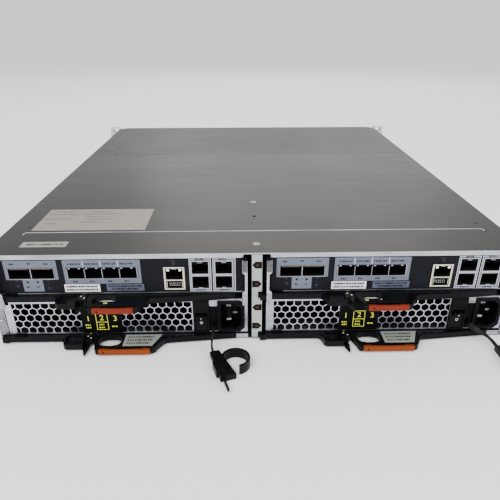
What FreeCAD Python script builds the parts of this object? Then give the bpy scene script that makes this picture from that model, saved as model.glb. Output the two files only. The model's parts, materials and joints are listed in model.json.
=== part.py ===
import FreeCAD, Part
import math
import os
import re

import Sketcher
from FreeCAD import Placement, Rotation, Vector

# A two-unit rack storage filer: two controllers over two power supplies at the rear, twelve drives in front.
# X runs across the rear as it is looked at, Y from the rear face towards the drives, Z up from the base.
# Every body has the rear face at its own Y = 0 and the base at Z = 0; modules have X = 0 at their middle.

sizes = {
    # chassis
    "chassis_width": 446, "chassis_height": 84, "chassis_depth": 510, "chassis_wall": 1.2,
    "cover_wall": 1.0, "cover_flange": 4.1, "cover_flange_wall": 1.0, "cover_flange_gap": 22,
    "cover_seam": 321, "seam_gap": 0.3, "clearance": 0.3, "side_flange": 6.5,
    "bead_y": 45.8, "bead_width": 1.6, "bead_depth": 0.4, "bead_end": 206, "bead_hook": 6,
    "cover_slot_y": 81, "cover_slot": 3, "cover_screw_first": 18.5, "cover_screw_second": 122.5,
    "screw_radius": 1.9, "screw_length": 7, "screw_head_radius": 3.4, "screw_head_height": 0.6,
    "screw_fit": 0.1, "screw_boss": 10, "screw_boss_height": 7, "deck_corner": 18,
    # centre wall and shelf between the modules
    "strip_width": 8.6, "strip_wall": 1.0, "strip_top": 82.4, "center_wall_thickness": 1.2,
    "nose_notch_edge": 0.95, "shelf_top": 47.4, "shelf_wall": 1.0, "shelf_start": 17, "shelf_skirt": 6.2,
    # midplane
    "midplane_y": 325, "midplane_thickness": 2.4, "module_plug_depth": 7, "drive_plug_depth": 6,
    "drive_plug_width": 42, "drive_plug_height": 6, "controller_plug_width": 118, "controller_plug_height": 11,
    "power_plug_width": 62, "power_plug_height": 12, "air_window_width": 40, "air_window_height": 6,
    # drives
    "carrier_width": 107, "carrier_height": 25.8, "bay_pitch_across": 110.2, "bay_pitch_up": 27.0,
    "disk_width": 101.6, "disk_height": 25.0, "disk_length": 147, "cage_window": 40, "cage_window_height": 14,
    "bezel_depth": 10, "bezel_reach": 4, "handle_reach": 12, "handle_height": 13, "button_width": 17,
    "vent_slot": 2.6, "vent_pitch": 5.2,
    # ears
    "ear_wall": 2.0, "ear_leg": 30, "ear_cap": 10, "ear_inset": 1.5,
    "rack_hole_span": 465.1, "ear_margin": 8.75, "rack_hole_rise": 76.2, "rack_slot_length": 10, "rack_slot_radius": 3.2,
    # modules
    "module_offset": 111.3, "module_width": 206.6, "module_depth": 316, "sheet_wall": 1.0, "bay_front": 17,
    # controllers
    "controller_floor": 47.7, "controller_face_bottom": 48.9, "controller_face_top": 79.5, "face_wall": 1.5,
    "bracket_width": 4.2, "bracket_reach": 5.2, "bracket_bottom": 37.6, "bracket_waist": 2.0,
    "bracket_top": 79.2, "bracket_upper": 68.6, "bracket_lower": 49.8,
    "board_gap": 0.5, "board_thickness": 1.6, "board_width": 200, "board_length": 292,
    "mezzanine_top": 61.3, "mezzanine_left": -97, "mezzanine_right": 18, "mezzanine_length": 90,
    "sink_width": 64, "sink_depth": 60, "sink_height": 20, "sink_base": 4, "fin_wall": 1.6, "fin_count": 9,
    "stick_length": 133, "stick_height": 24, "stick_wall": 1.4, "battery_width": 42, "battery_depth": 70,
    "battery_height": 18,
    # storage and network ports
    "port_reach": 0.3, "cage_floor": 61.6, "cage_roof": 72.3, "port_fit": 0.3,
    "sas_left": -92.9, "sas_right": -54.9, "sas_hole_width": 16.4, "sas_hole_height": 8.2,
    "sas_hole_floor": 63.4, "sas_first": -91.95, "sas_pitch": 19.4, "sas_length": 46, "sas_hole_depth": 40,
    "sfp_left": -45.15, "sfp_pitch": 14.25, "sfp_hole_width": 13.55, "sfp_hole_height": 9.0,
    "sfp_hole_floor": 62.3, "sfp_length": 52, "sfp_hole_depth": 46,
    "console_left": 34.35, "console_width": 17.1, "console_floor": 51.1, "console_top": 72.2,
    "console_reach": 0.8, "jack_length": 26, "jack_hole_depth": 14, "jack_width": 12.1, "jack_height": 7.0,
    "jack_step": 1.2, "jack_tab_width": 6.2, "jack_key_width": 3.6, "console_jack_floor": 61.5,
    "usb_floor": 53.2, "usb_height": 5.6, "usb_tongue": 1.9, "lan_first": 56.6, "lan_width": 15.6,
    "lan_pitch": 19.4, "lan_top": 77.6, "lan_upper_floor": 66.6, "lan_lower_floor": 54.7,
    # power supplies
    "power_floor": 1.5, "power_top": 40.6, "power_face_top": 40.9, "power_face_bottom": 7.6,
    "corner_step_width": 4.7, "corner_step_floor": 37.1, "case_wall": 0.8,
    "hex_pitch": 7.1, "hex_row": 6.15, "hex_web": 0.9, "hex_first_x": -97.2, "hex_first_z": 11.7,
    "hex_columns": 23, "hex_rows": 5, "grille_left": -97, "grille_right": 55.6, "panel_left": -39.8, "panel_right": -5.2,
    "grille_top": 38.3, "grille_bottom": 9.0,
    "switch_left": 56.55, "switch_width": 13.6, "switch_floor": 8.7, "switch_top": 39.7, "switch_reach": 2.2,
    "rocker_width": 9.9, "rocker_height": 18, "rocker_well_depth": 12, "rocker_z": 19.1, "rocker_axle": 1.2,
    "rocker_axle_y": 3, "rocker_fit": 0.05, "rocker_lift": 3.4,
    "inlet_left": 77.35, "inlet_width": 23.5, "inlet_floor": 8.7, "inlet_top": 39.2, "inlet_reach": 1.5,
    "inlet_depth": 20, "inlet_chamfer": 4, "socket_width": 17.4, "socket_height": 25.2, "socket_chamfer": 4.5,
    "socket_wall": 1.1, "socket_depth": 15, "pin_width": 2, "pin_height": 4, "pin_rise": 7, "pin_ground": 3.5, "pin_length": 8,
    "anchor_x": 73.9, "anchor_z": 14.6, "anchor_radius": 2.2, "anchor_reach": 3.4,
    "fan_x": -67.5, "fan_z": 21, "fan_tip": 16.8, "fan_hub": 7, "fan_shaft": 1.5, "fan_fit": 0.05,
    "fan_front": 24, "fan_length": 10, "fan_ring": 17.6, "fan_frame_width": 40, "fan_blades": 7,
    # ejector levers
    "lever_thickness": 5.2, "power_lever_floor": 1.6, "controller_lever_floor": 41.9, "pivot_x": -96,
    "pivot_radius": 1.8, "pivot_fit": 0.05, "lever_back": 3, "lever_front": 3.5, "nose_left": -108.9,
    "nose_right": -104.2, "nose_front": 5.0, "hump_left": -57.5, "hump_right": -37, "hump_front": 15.3,
    "hump_dish": 1.5, "waist_right": -29.4, "waist_front": 7.5, "waist_step": 1.3, "grip_left": -24,
    "grip_front": 22.5, "grip_right": 26.5, "latch_left": -22, "latch_right": 21.5, "controller_trim": 10,
    "latch_back": 20.6,
    "latch_front": 23.5, "latch_bow": 1.1, "latch_play": 1.6, "rim_front": 19.0, "hole_left": -25, "hole_width": 20.6,
    "hole_near": 2.2, "hole_far": 17.0, "hole_round": 7.2, "taper_end": 33.5, "taper_front": 7.5, "arm_tip": 92.7,
    "arm_tip_front": 1.5, "pivot_tab": 4.5, "pivot_tab_left": -98.4, "pivot_tab_right": -89,
    # straps round the levers
    "strap_width": 6.2, "strap_thickness": 0.8, "strap_reach": 24, "strap_drop": 0.6, "strap_tip": 1.4,
    # cord retainer
    "tie_radius": 1.5, "clip_start": 1.5, "clip_fit": 0.3, "rail_length": 33.5, "rail_height": 5.2, "rail_left": 2.6,
    "rail_right_start": 5.6, "rail_right_end": 10.6, "block_start": 16.5, "block_length": 13, "block_left": 4.4,
    "block_right": 3.2, "block_height": 7, "loop_radius": 12, "loop_wall": 1.8, "loop_height": 9, "loop_x": 19.3,
    "loop_y": 14.6,
}

# Each retainer strap's route from its anchor: across, out from the rear face, height above the surface.
# The last run is straight, and the clip slides along it.
tie_routes = {
    "power_a": [(73.9, -4.1, 14.6), (73.2, -9.5, 13.0), (72.4, -16.0, 7.6), (73.2, -23.0, 2.9), (87.8, -69.0, 2.9)],
    "power_b": [(73.9, -4.1, 14.6), (78.5, -8.5, 12.0), (87.5, -9.8, 7.6), (92.4, -13.5, 3.6), (93.0, -20.0, 2.9),
                (93.0, -68.0, 2.9)],
}

derived = {
    "ear_span": "=rack_hole_span + ear_margin * 2",
    "rear_y": "=(strap_reach - chassis_depth - handle_reach) / 2",
    "half_width": "=chassis_width / 2",
    "inner_half": "=chassis_width / 2 - chassis_wall",
    "inner_floor": "=chassis_wall + clearance",
    "inner_top": "=chassis_height - cover_wall - clearance",
    "flange_floor": "=chassis_height - cover_flange",
    "half_module": "=module_width / 2",
    "bay_center": "=(inner_floor + inner_top) / 2",
    "cage_y": "=midplane_y + midplane_thickness + clearance",
    "drive_back": "=midplane_y + midplane_thickness + drive_plug_depth + clearance",
    "board_floor": "=controller_floor + sheet_wall + board_gap",
    "board_top": "=controller_floor + sheet_wall + board_gap + board_thickness",
    "jack_floor": "=board_top + clearance",
    "hex_radius": "=(hex_pitch - hex_web) / sqrt(3)",
    "nose_clear": "=clearance * 2",
    "lip_top": "=power_face_bottom + case_wall",
}

document = FreeCAD.newDocument("storage_filer")
sheet = document.addObject("Spreadsheet::Sheet", "sizes")
for row, (name, amount) in enumerate(list(sizes.items()) + list(derived.items()), start=1):
    sheet.set(f"A{row}", name)
    sheet.set(f"B{row}", str(amount))
    sheet.setAlias(f"B{row}", name)
document.recompute()

known = set(sizes) | set(derived)
planes = {"floor": "XY_Plane", "rear": "XZ_Plane", "side": "YZ_Plane"}


def value(name):
    """One size from the sheet, as a number."""
    return float(getattr(sheet, name))


def bound(text):
    """An expression in which each size points at its cell of the sheet."""
    return re.sub(r"[a-z_]+", lambda word: f"sizes.{word[0]}" if word[0] in known else word[0], str(text))


def new_body(label, across="0", up="0"):
    """An empty body that stands at the rear face, moved across and up."""
    body = document.addObject("PartDesign::Body", label)
    body.Label = label
    for axis, text in (("x", across), ("y", "rear_y"), ("z", up)):
        body.setExpression(f"Placement.Base.{axis}", bound(text))
    return body


def origin_item(body, role):
    return next(item for item in body.Origin.OriginFeatures if item.Role == role)


def rect(left, low, right, high):
    return [(left, low), (right, low), (right, high), (left, high)]


def mirrored(loop):
    """The same outline on the other side of X = 0."""
    return [(f"-({x})", y) for x, y in reversed(loop)]


def pin_to(sketch, geometry, point, x, y):
    """Binds one point of the sketch to two expressions."""
    for kind, text in (("DistanceX", x), ("DistanceY", y)):
        index = sketch.addConstraint(Sketcher.Constraint(kind, geometry, point, 1.0))
        sketch.setExpression(f"Constraints[{index}]", bound(text))


def draw(body, side, at, loops):
    """A sketch parallel to one of the body's planes. A loop is a list of corners or (x, y, radius)."""
    sketch = body.newObject("Sketcher::SketchObject", body.Name + "_sketch")
    sketch.AttachmentSupport = [(origin_item(body, planes[side]), "")]
    sketch.MapMode = "FlatFace"
    sketch.setExpression("AttachmentOffset.Base.z", bound(f"-({at})" if side == "rear" else at))
    for loop in loops:
        first = sketch.GeometryCount
        if isinstance(loop, tuple):
            sketch.addGeometry(Part.Circle(Vector(0, 0, 0), Vector(0, 0, 1), 1), False)
            pin_to(sketch, first, 3, loop[0], loop[1])
            index = sketch.addConstraint(Sketcher.Constraint("Radius", first, 1.0))
            sketch.setExpression(f"Constraints[{index}]", bound(loop[2]))
            continue
        count = len(loop)
        ring = [Vector(math.cos(2 * math.pi * i / count), math.sin(2 * math.pi * i / count), 0) for i in range(count)]
        sketch.addGeometry([Part.LineSegment(ring[i], ring[(i + 1) % count]) for i in range(count)], False)
        for i, (x, y) in enumerate(loop):
            sketch.addConstraint(Sketcher.Constraint("Coincident", first + i, 2, first + (i + 1) % count, 1))
            pin_to(sketch, first + i, 1, x, y)
    return sketch


def pad(body, side, at, depth, *loops):
    """Adds the outlines from `at` to `at + depth` along the axis square to the side."""
    feature = body.newObject("PartDesign::Pad", body.Name + "_pad")
    feature.Profile = draw(body, side, at, loops)
    feature.setExpression("Length", bound(depth))
    feature.Reversed = side == "rear"
    feature.Refine = False
    return feature


def cut(body, side, at, depth, *loops):
    """Takes the outlines away from `at` to `at + depth` along the axis square to the side."""
    feature = body.newObject("PartDesign::Pocket", body.Name + "_cut")
    feature.Profile = draw(body, side, at, loops)
    feature.setExpression("Length", bound(depth))
    feature.Reversed = side != "rear"
    feature.Refine = False
    return feature


def repeat(body, feature, axis, spacing, count):
    """Repeats a feature along one axis."""
    pattern = body.newObject("PartDesign::LinearPattern", body.Name + "_row")
    pattern.Originals = [feature]
    pattern.Direction = (origin_item(body, axis), [""])
    pattern.Mode = "Spacing"
    pattern.setExpression("Offset", bound(spacing))
    pattern.setExpression("Occurrences", bound(count))
    pattern.Refine = False
    body.Tip = pattern
    return pattern


def round_edges(body, radius, chosen):
    """Rounds the edges that the test picks from the body as it is."""
    document.recompute()
    base = body.Tip
    names = [f"Edge{i}" for i, edge in enumerate(base.Shape.Edges, start=1) if chosen(edge)]
    fillet = body.newObject("PartDesign::Fillet", body.Name + "_round")
    fillet.Base = (base, names)
    fillet.setExpression("Radius", bound(radius))
    return fillet


def upright_at(points, reach=0.3):
    """A test for vertical edges that stand at one of the points, given in the body's own frame."""
    def chosen(edge):
        box = edge.BoundBox
        thin = box.XLength < 0.01 and box.YLength < 0.01 and box.ZLength > 0.5
        return thin and any(abs(box.XMin - x) < reach and abs(box.YMin - y) < reach for x, y in points)
    return chosen


# Chassis

def make_tub():
    tub = new_body("chassis_tub")
    pad(tub, "floor", "0", "chassis_wall", rect("-half_width", "0", "half_width", "chassis_depth"))
    wall = rect("inner_half", "0", "half_width", "chassis_depth")
    pad(tub, "floor", "chassis_wall", "chassis_height - cover_wall - chassis_wall", wall, mirrored(wall))
    flange = rect("inner_half - side_flange", "chassis_wall", "inner_half", "flange_floor - clearance")
    pad(tub, "rear", "0", "chassis_wall", flange, mirrored(flange))
    notches = []
    for floor in ("power_lever_floor", "controller_lever_floor"):
        notches.append(rect("-inner_half", f"{floor} - nose_clear", "-inner_half + side_flange + 1",
                            f"{floor} + lever_thickness + nose_clear"))
    notches[0][0] = ("-inner_half", "chassis_wall")
    notches[0][1] = ("-inner_half + side_flange + 1", "chassis_wall")
    cut(tub, "rear", "0", "chassis_wall", *notches)


def make_covers():
    cover = new_body("rear_cover")
    pad(cover, "floor", "chassis_height - cover_wall", "cover_wall",
        rect("-half_width", "0", "half_width", "cover_seam - seam_gap"))
    flange = rect("cover_flange_gap / 2", "flange_floor", "inner_half - clearance", "chassis_height - cover_wall")
    pad(cover, "rear", "0", "cover_flange_wall", flange, mirrored(flange))
    hook = "bead_y - bead_width / 2 - bead_hook"
    low, high = "bead_y - bead_width / 2", "bead_y + bead_width / 2"
    bead = [("-bead_end", hook), ("-bead_end + bead_width", hook), ("-bead_end + bead_width", low),
            ("bead_end - bead_width", low), ("bead_end - bead_width", hook), ("bead_end", hook),
            ("bead_end", high), ("-bead_end", high)]
    cut(cover, "floor", "chassis_height - bead_depth", "bead_depth", bead)
    cut(cover, "floor", "chassis_height - cover_wall", "cover_wall",
        rect("-cover_slot / 2", "cover_slot_y - cover_slot / 2", "cover_slot / 2", "cover_slot_y + cover_slot / 2"),
        ("0", "cover_screw_first", "screw_radius + screw_fit"), ("0", "cover_screw_second", "screw_radius + screw_fit"))
    seat = "chassis_height - screw_head_height"
    cut(cover, "floor", seat, "screw_head_height",
        ("0", "cover_screw_first", "screw_head_radius + screw_fit"),
        ("0", "cover_screw_second", "screw_head_radius + screw_fit"))

    deck = new_body("front_deck")
    pad(deck, "floor", "chassis_height - cover_wall", "cover_wall",
        rect("-half_width", "cover_seam", "half_width", "chassis_depth"))
    half, depth = value("half_width"), value("chassis_depth")
    round_edges(deck, "deck_corner", upright_at([(-half, depth), (half, depth)]))

    screws = new_body("cover_screws")
    pad(screws, "floor", seat, "screw_head_height",
        ("0", "cover_screw_first", "screw_head_radius"), ("0", "cover_screw_second", "screw_head_radius"))
    pad(screws, "floor", "chassis_height - screw_length", "screw_length - screw_head_height",
        ("0", "cover_screw_first", "screw_radius"), ("0", "cover_screw_second", "screw_radius"))


def make_center_wall():
    wall = new_body("center_wall")
    pad(wall, "rear", "0", "strip_wall", rect("-strip_width / 2", "inner_floor", "strip_width / 2", "strip_top"))
    pad(wall, "side", "-center_wall_thickness / 2", "center_wall_thickness",
        rect("0", "inner_floor", "midplane_y - module_plug_depth - clearance", "inner_top"))
    bosses = [rect("-screw_boss / 2", f"{place} - screw_boss / 2", "screw_boss / 2", f"{place} + screw_boss / 2")
              for place in ("cover_screw_first", "cover_screw_second")]
    pad(wall, "floor", "inner_top - screw_boss_height", "screw_boss_height", *bosses)
    cut(wall, "floor", "inner_top - screw_boss_height", "screw_boss_height",
        ("0", "cover_screw_first", "screw_radius + screw_fit"), ("0", "cover_screw_second", "screw_radius + screw_fit"))
    cut(wall, "side", "-strip_width / 2", "strip_width",
        rect("shelf_start - clearance", "shelf_top - shelf_wall - clearance", "midplane_y", "shelf_top + clearance"))
    cut(wall, "side", "-strip_width / 2", "strip_width",
        rect("shelf_start - clearance", "shelf_top - shelf_skirt - clearance", "shelf_start + shelf_wall + clearance",
             "shelf_top"))
    for floor in ("power_lever_floor", "controller_lever_floor"):
        cut(wall, "rear", "0", "strip_wall",
            rect("nose_notch_edge", f"{floor} - nose_clear", "strip_width / 2 + 1",
                 f"{floor} + lever_thickness + nose_clear"))

    shelf = new_body("module_shelf")
    reach = "inner_half - clearance"
    pad(shelf, "floor", "shelf_top - shelf_wall", "shelf_wall",
        rect(f"-({reach})", "shelf_start", reach, "midplane_y - module_plug_depth - clearance"))
    pad(shelf, "rear", "shelf_start", "shelf_wall",
        rect(f"-({reach})", "shelf_top - shelf_skirt", reach, "shelf_top - shelf_wall"))
    skirt = rect(f"{reach} - shelf_wall", "shelf_start", reach, "midplane_y - module_plug_depth - clearance")
    pad(shelf, "floor", "shelf_top - shelf_skirt", "shelf_skirt - shelf_wall", skirt, mirrored(skirt))


def bay_spots():
    """Column and row steps of the drive bays from the middle of the front, left to right and bottom to top."""
    return [(column, level) for level in (-1, 0, 1) for column in (-1.5, -0.5, 0.5, 1.5)]


def box_at(x, z, width, height):
    return rect(f"{x} - {width} / 2", f"{z} - {height} / 2", f"{x} + {width} / 2", f"{z} + {height} / 2")


def make_midplane():
    board = new_body("midplane_board")
    reach = "inner_half - clearance"
    pad(board, "rear", "midplane_y", "midplane_thickness", rect(f"-({reach})", "inner_floor", reach, "inner_top"))
    bays = [(f"({column} * bay_pitch_across)", f"(bay_center + {level} * bay_pitch_up)")
            for column, level in bay_spots()]
    cut(board, "rear", "midplane_y", "midplane_thickness",
        *[box_at(x, f"({z} + drive_plug_height)", "air_window_width", "air_window_height") for x, z in bays])
    pad(board, "rear", "midplane_y + midplane_thickness", "drive_plug_depth",
        *[box_at(x, f"({z} - drive_plug_height / 2)", "drive_plug_width", "drive_plug_height") for x, z in bays])
    plugs = []
    for side in ("-module_offset", "module_offset"):
        plugs.append(box_at(side, "(bay_center + bay_pitch_up / 2)", "controller_plug_width", "controller_plug_height"))
        plugs.append(box_at(side, "(bay_center - bay_pitch_up / 2)", "power_plug_width", "power_plug_height"))
    pad(board, "rear", "midplane_y - module_plug_depth", "module_plug_depth", *plugs)


def make_cage():
    cage = new_body("drive_cage")
    reach = "inner_half - clearance"
    depth = "chassis_depth - cage_y"
    pad(cage, "rear", "cage_y", depth, rect(f"-({reach})", "inner_floor", reach, "inner_top"))
    for level in (-1, 0, 1):
        bay = cut(cage, "rear", "cage_y", depth,
                  box_at("(-1.5 * bay_pitch_across)", f"(bay_center + {level} * bay_pitch_up)",
                         "(carrier_width + clearance * 2)", "(carrier_height + clearance * 2)"))
        repeat(cage, bay, "X_Axis", "bay_pitch_across", "4")
    windows = [box_at(f"({start} + cage_window / 2)", f"(bay_center + {level} * bay_pitch_up)", "cage_window",
                      "cage_window_height")
               for start in ("drive_back", "(drive_back + cage_window * 1.5)", "(drive_back + cage_window * 3)")
               for level in (-1, 0, 1)]
    cut(cage, "side", f"-({reach})", f"2 * ({reach})", *windows)


def make_drives():
    for number, (column, level) in enumerate(bay_spots(), start=1):
        drive = new_body(f"drive_{number}", f"{column} * bay_pitch_across", f"bay_center + {level} * bay_pitch_up")
        pad(drive, "rear", "drive_back", "disk_length", box_at("0", "0", "disk_width", "disk_height"))
        rail = rect("disk_width / 2", "-disk_height / 2", "carrier_width / 2", "disk_height / 2")
        pad(drive, "rear", "drive_back + drive_plug_depth", "chassis_depth - drive_back - drive_plug_depth",
            rail, mirrored(rail))
        pad(drive, "rear", "chassis_depth - bezel_depth", "bezel_depth + bezel_reach",
            box_at("0", "0", "carrier_width", "carrier_height"))
        grip_top = "handle_height - carrier_height / 2 + 1"
        handle = rect("-carrier_width / 2 + 1", "-carrier_height / 2 + 1", "carrier_width / 2 - button_width - 2", grip_top)
        button = rect("carrier_width / 2 - button_width - 1", "-carrier_height / 2 + 1", "carrier_width / 2 - 1", grip_top)
        pad(drive, "rear", "chassis_depth + bezel_reach", "handle_reach - bezel_reach", handle)
        pad(drive, "rear", "chassis_depth + bezel_reach", "(handle_reach - bezel_reach) / 2", button)
        slots = [box_at(f"{step} * (carrier_width / 3)", f"({grip_top} + {row} * vent_pitch)", "(carrier_width / 3 - 3)",
                        "vent_slot") for step in (-1, 0, 1) for row in (0.7, 1.5)]
        cut(drive, "rear", "chassis_depth + bezel_reach - 3", "3", *slots)


def make_ears():
    for label, sign in (("ear_left", -1), ("ear_right", 1)):
        ear = new_body(label)
        turn = mirrored if sign < 0 else list
        z_low, z_high = "ear_inset", "chassis_height - ear_inset"
        pad(ear, "rear", "chassis_depth - ear_leg", "ear_leg",
            turn(rect("half_width", z_low, "half_width + ear_wall", z_high)))
        pad(ear, "rear", "chassis_depth - ear_wall", "ear_wall + ear_cap",
            turn(rect("half_width + ear_wall", "0", "ear_span / 2", "chassis_height")))
        middle = f"{sign} * rack_hole_span / 2"
        half_slot = "(rack_slot_length / 2 - rack_slot_radius)"
        for sense in ("-", "+"):
            height = f"(chassis_height / 2 {sense} rack_hole_rise / 2)"
            cut(ear, "rear", "chassis_depth - ear_wall", "ear_wall + ear_cap",
                (f"{middle} - {half_slot}", height, "rack_slot_radius"))
            cut(ear, "rear", "chassis_depth - ear_wall", "ear_wall + ear_cap",
                (f"{middle} + {half_slot}", height, "rack_slot_radius"))
            cut(ear, "rear", "chassis_depth - ear_wall", "ear_wall + ear_cap",
                rect(f"{middle} - {half_slot}", f"{height} - rack_slot_radius", f"{middle} + {half_slot}",
                     f"{height} + rack_slot_radius"))


# Controllers

def jack_outline(left, floor, up):
    """A modular jack's hole, with its latch notch above or below."""
    middle = f"({left} + jack_width / 2)"
    steps = [("jack_width / 2", "0"), ("jack_width / 2", "jack_height"), ("jack_tab_width / 2", "jack_height"),
             ("jack_tab_width / 2", "jack_height + jack_step"), ("jack_key_width / 2", "jack_height + jack_step"),
             ("jack_key_width / 2", "jack_height + jack_step * 1.6")]
    outline = [(f"{middle} + {x}", y) for x, y in steps] + [(f"{middle} - {x}", y) for x, y in reversed(steps)]
    if up:
        return [(x, f"{floor} + ({y})") for x, y in outline]
    return [(x, f"{floor} + jack_height - ({y})") for x, y in reversed(outline)]


def pivot(body, floor, top):
    """The pin that an ejector lever swings on."""
    pad(body, "floor", floor, f"{top} - ({floor})", ("pivot_x", "0", "pivot_radius"))


def make_controller(prefix, across):
    tray = new_body(prefix + "_tray", across)
    base = [("-half_module", "0"), ("pivot_tab_left", "0"), ("pivot_tab_left", "-pivot_tab"),
            ("pivot_tab_right", "-pivot_tab"), ("pivot_tab_right", "0"), ("half_module", "0"),
            ("half_module", "module_depth"), ("-half_module", "module_depth")]
    pad(tray, "floor", "controller_floor", "sheet_wall", base)
    wall = rect("half_module - sheet_wall", "face_wall + clearance", "half_module", "module_depth")
    pad(tray, "floor", "controller_floor + sheet_wall", "controller_face_top - controller_floor - sheet_wall - 1.5",
        wall, mirrored(wall))
    pivot(tray, "controller_lever_floor", "controller_floor")

    face = new_body(prefix + "_face", across)
    pad(face, "rear", "0", "face_wall",
        rect("-half_module", "controller_face_bottom", "half_module", "controller_face_top"))
    holes = [rect("sas_left - port_fit", "cage_floor - port_fit", "sas_right + port_fit", "cage_roof + port_fit"),
             rect("sfp_left - port_fit", "cage_floor - port_fit", "sfp_left + 4 * sfp_pitch + 1.3 + port_fit",
                  "cage_roof + port_fit"),
             rect("console_left - port_fit", "console_floor - port_fit", "console_left + console_width + port_fit",
                  "console_top + port_fit")]
    for step in (0, 1):
        left = f"lan_first + {step} * lan_pitch"
        holes.append(rect(f"{left} - port_fit", "jack_floor - port_fit", f"{left} + lan_width + port_fit",
                          "lan_top + port_fit"))
    cut(face, "rear", "0", "face_wall", *holes)
    inner = "half_module - bracket_width"
    waist = "half_module - bracket_waist"
    leaf = [(inner, "bracket_bottom"), ("half_module", "bracket_bottom"), ("half_module", "bracket_top"),
            (inner, "bracket_top"), (inner, "bracket_upper"), (waist, "bracket_upper - bracket_waist"),
            (waist, "bracket_lower + bracket_waist"), (inner, "bracket_lower")]
    web = rect("half_module - sheet_wall", "controller_face_bottom", "half_module", "bracket_top")
    pad(face, "rear", "-bracket_reach", "bracket_reach", web, mirrored(web))
    pad(face, "rear", "-bracket_reach", "sheet_wall", leaf, mirrored(leaf))

    board = new_body(prefix + "_board", across)
    front = "face_wall + clearance * 2"
    pad(board, "floor", "board_floor", "board_thickness",
        rect("-board_width / 2", front, "board_width / 2", "board_length"))
    corners = [(f"{sx} * (board_width / 2 - 8)", y, "3") for sx in (-1, 1) for y in ("20", "board_length - 20")]
    pad(board, "floor", "controller_floor + sheet_wall", "board_gap", *corners)
    pad(board, "floor", "mezzanine_top - board_thickness", "board_thickness",
        rect("mezzanine_left", front, "mezzanine_right", "mezzanine_length"))
    posts = [(x, y, "2.5") for x in ("mezzanine_left + 5", "mezzanine_right - 5") for y in ("12", "mezzanine_length - 6")]
    pad(board, "floor", "board_top", "mezzanine_top - board_thickness - board_top", *posts)
    pad(board, "floor", "board_top", "sink_base",
        rect("-sink_width / 2", "110", "sink_width / 2", "110 + sink_depth"))
    fin = pad(board, "floor", "board_top + sink_base", "sink_height - sink_base",
              rect("-sink_width / 2", "110", "-sink_width / 2 + fin_wall", "110 + sink_depth"))
    repeat(board, fin, "X_Axis", "(sink_width - fin_wall) / (fin_count - 1)", "fin_count")
    sticks = [rect("-stick_length / 2", f"{y}", "stick_length / 2", f"{y} + stick_wall") for y in ("196", "208")]
    pad(board, "floor", "board_top", "stick_height", *sticks)
    pad(board, "floor", "board_top", "battery_height",
        rect("board_width / 2 - 6 - battery_width", "130", "board_width / 2 - 6", "130 + battery_depth"))
    pad(board, "floor", "board_top", "controller_plug_height",
        rect("-controller_plug_width / 2", "board_length - 14", "controller_plug_width / 2", "module_depth"))

    sas = new_body(prefix + "_sas_cage", across)
    pad(sas, "rear", "-port_reach", "sas_length", rect("sas_left", "cage_floor", "sas_right", "cage_roof"))
    hole = cut(sas, "rear", "-port_reach", "sas_hole_depth",
               rect("sas_first", "sas_hole_floor", "sas_first + sas_hole_width", "sas_hole_floor + sas_hole_height"))
    repeat(sas, hole, "X_Axis", "sas_pitch", "2")

    sfp = new_body(prefix + "_sfp_cage", across)
    pad(sfp, "rear", "-port_reach", "sfp_length",
        rect("sfp_left", "cage_floor", "sfp_left + 4 * sfp_pitch + 1.3", "cage_roof"))
    wall_left = "sfp_left + (sfp_pitch - sfp_hole_width + 1.3) / 2"
    hole = cut(sfp, "rear", "-port_reach", "sfp_hole_depth",
               rect(wall_left, "sfp_hole_floor", f"{wall_left} + sfp_hole_width", "sfp_hole_floor + sfp_hole_height"))
    repeat(sfp, hole, "X_Axis", "sfp_pitch", "4")

    jacks = new_body(prefix + "_jacks", across)
    pad(jacks, "rear", "-console_reach", "jack_length",
        rect("console_left", "console_floor", "console_left + console_width", "console_top"))
    stacks = [rect(f"lan_first + {step} * lan_pitch", "jack_floor", f"lan_first + {step} * lan_pitch + lan_width",
                   "lan_top") for step in (0, 1)]
    pad(jacks, "rear", "-port_reach", "jack_length", *stacks)
    console_hole = "(console_left + (console_width - jack_width) / 2)"
    cut(jacks, "rear", "-console_reach", "jack_hole_depth", jack_outline(console_hole, "console_jack_floor", True),
        rect(console_hole, "usb_floor", f"{console_hole} + jack_width", "usb_floor + usb_height"))
    tongue = "usb_floor + (usb_height - usb_tongue) / 2"
    pad(jacks, "rear", "console_reach", "jack_hole_depth - console_reach",
        rect(f"{console_hole} + 1", tongue, f"{console_hole} + jack_width - 1", f"{tongue} + usb_tongue"))
    outlines = []
    for step in (0, 1):
        left = f"(lan_first + {step} * lan_pitch + (lan_width - jack_width) / 2)"
        outlines.append(jack_outline(left, "lan_upper_floor", True))
        outlines.append(jack_outline(left, "lan_lower_floor", False))
    cut(jacks, "rear", "-port_reach", "jack_hole_depth", *outlines)


# Power supplies

def power_section(inset):
    """The supply's section: a box with a step along each top corner."""
    side = f"half_module - {inset}"
    step = f"half_module - corner_step_width - {inset}"
    right = [(side, f"power_floor + {inset}"), (side, f"corner_step_floor - {inset}"),
             (step, f"corner_step_floor - {inset}"), (step, f"power_top - {inset}")]
    return right + [(f"-({x})", y) for x, y in reversed(right)]


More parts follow.
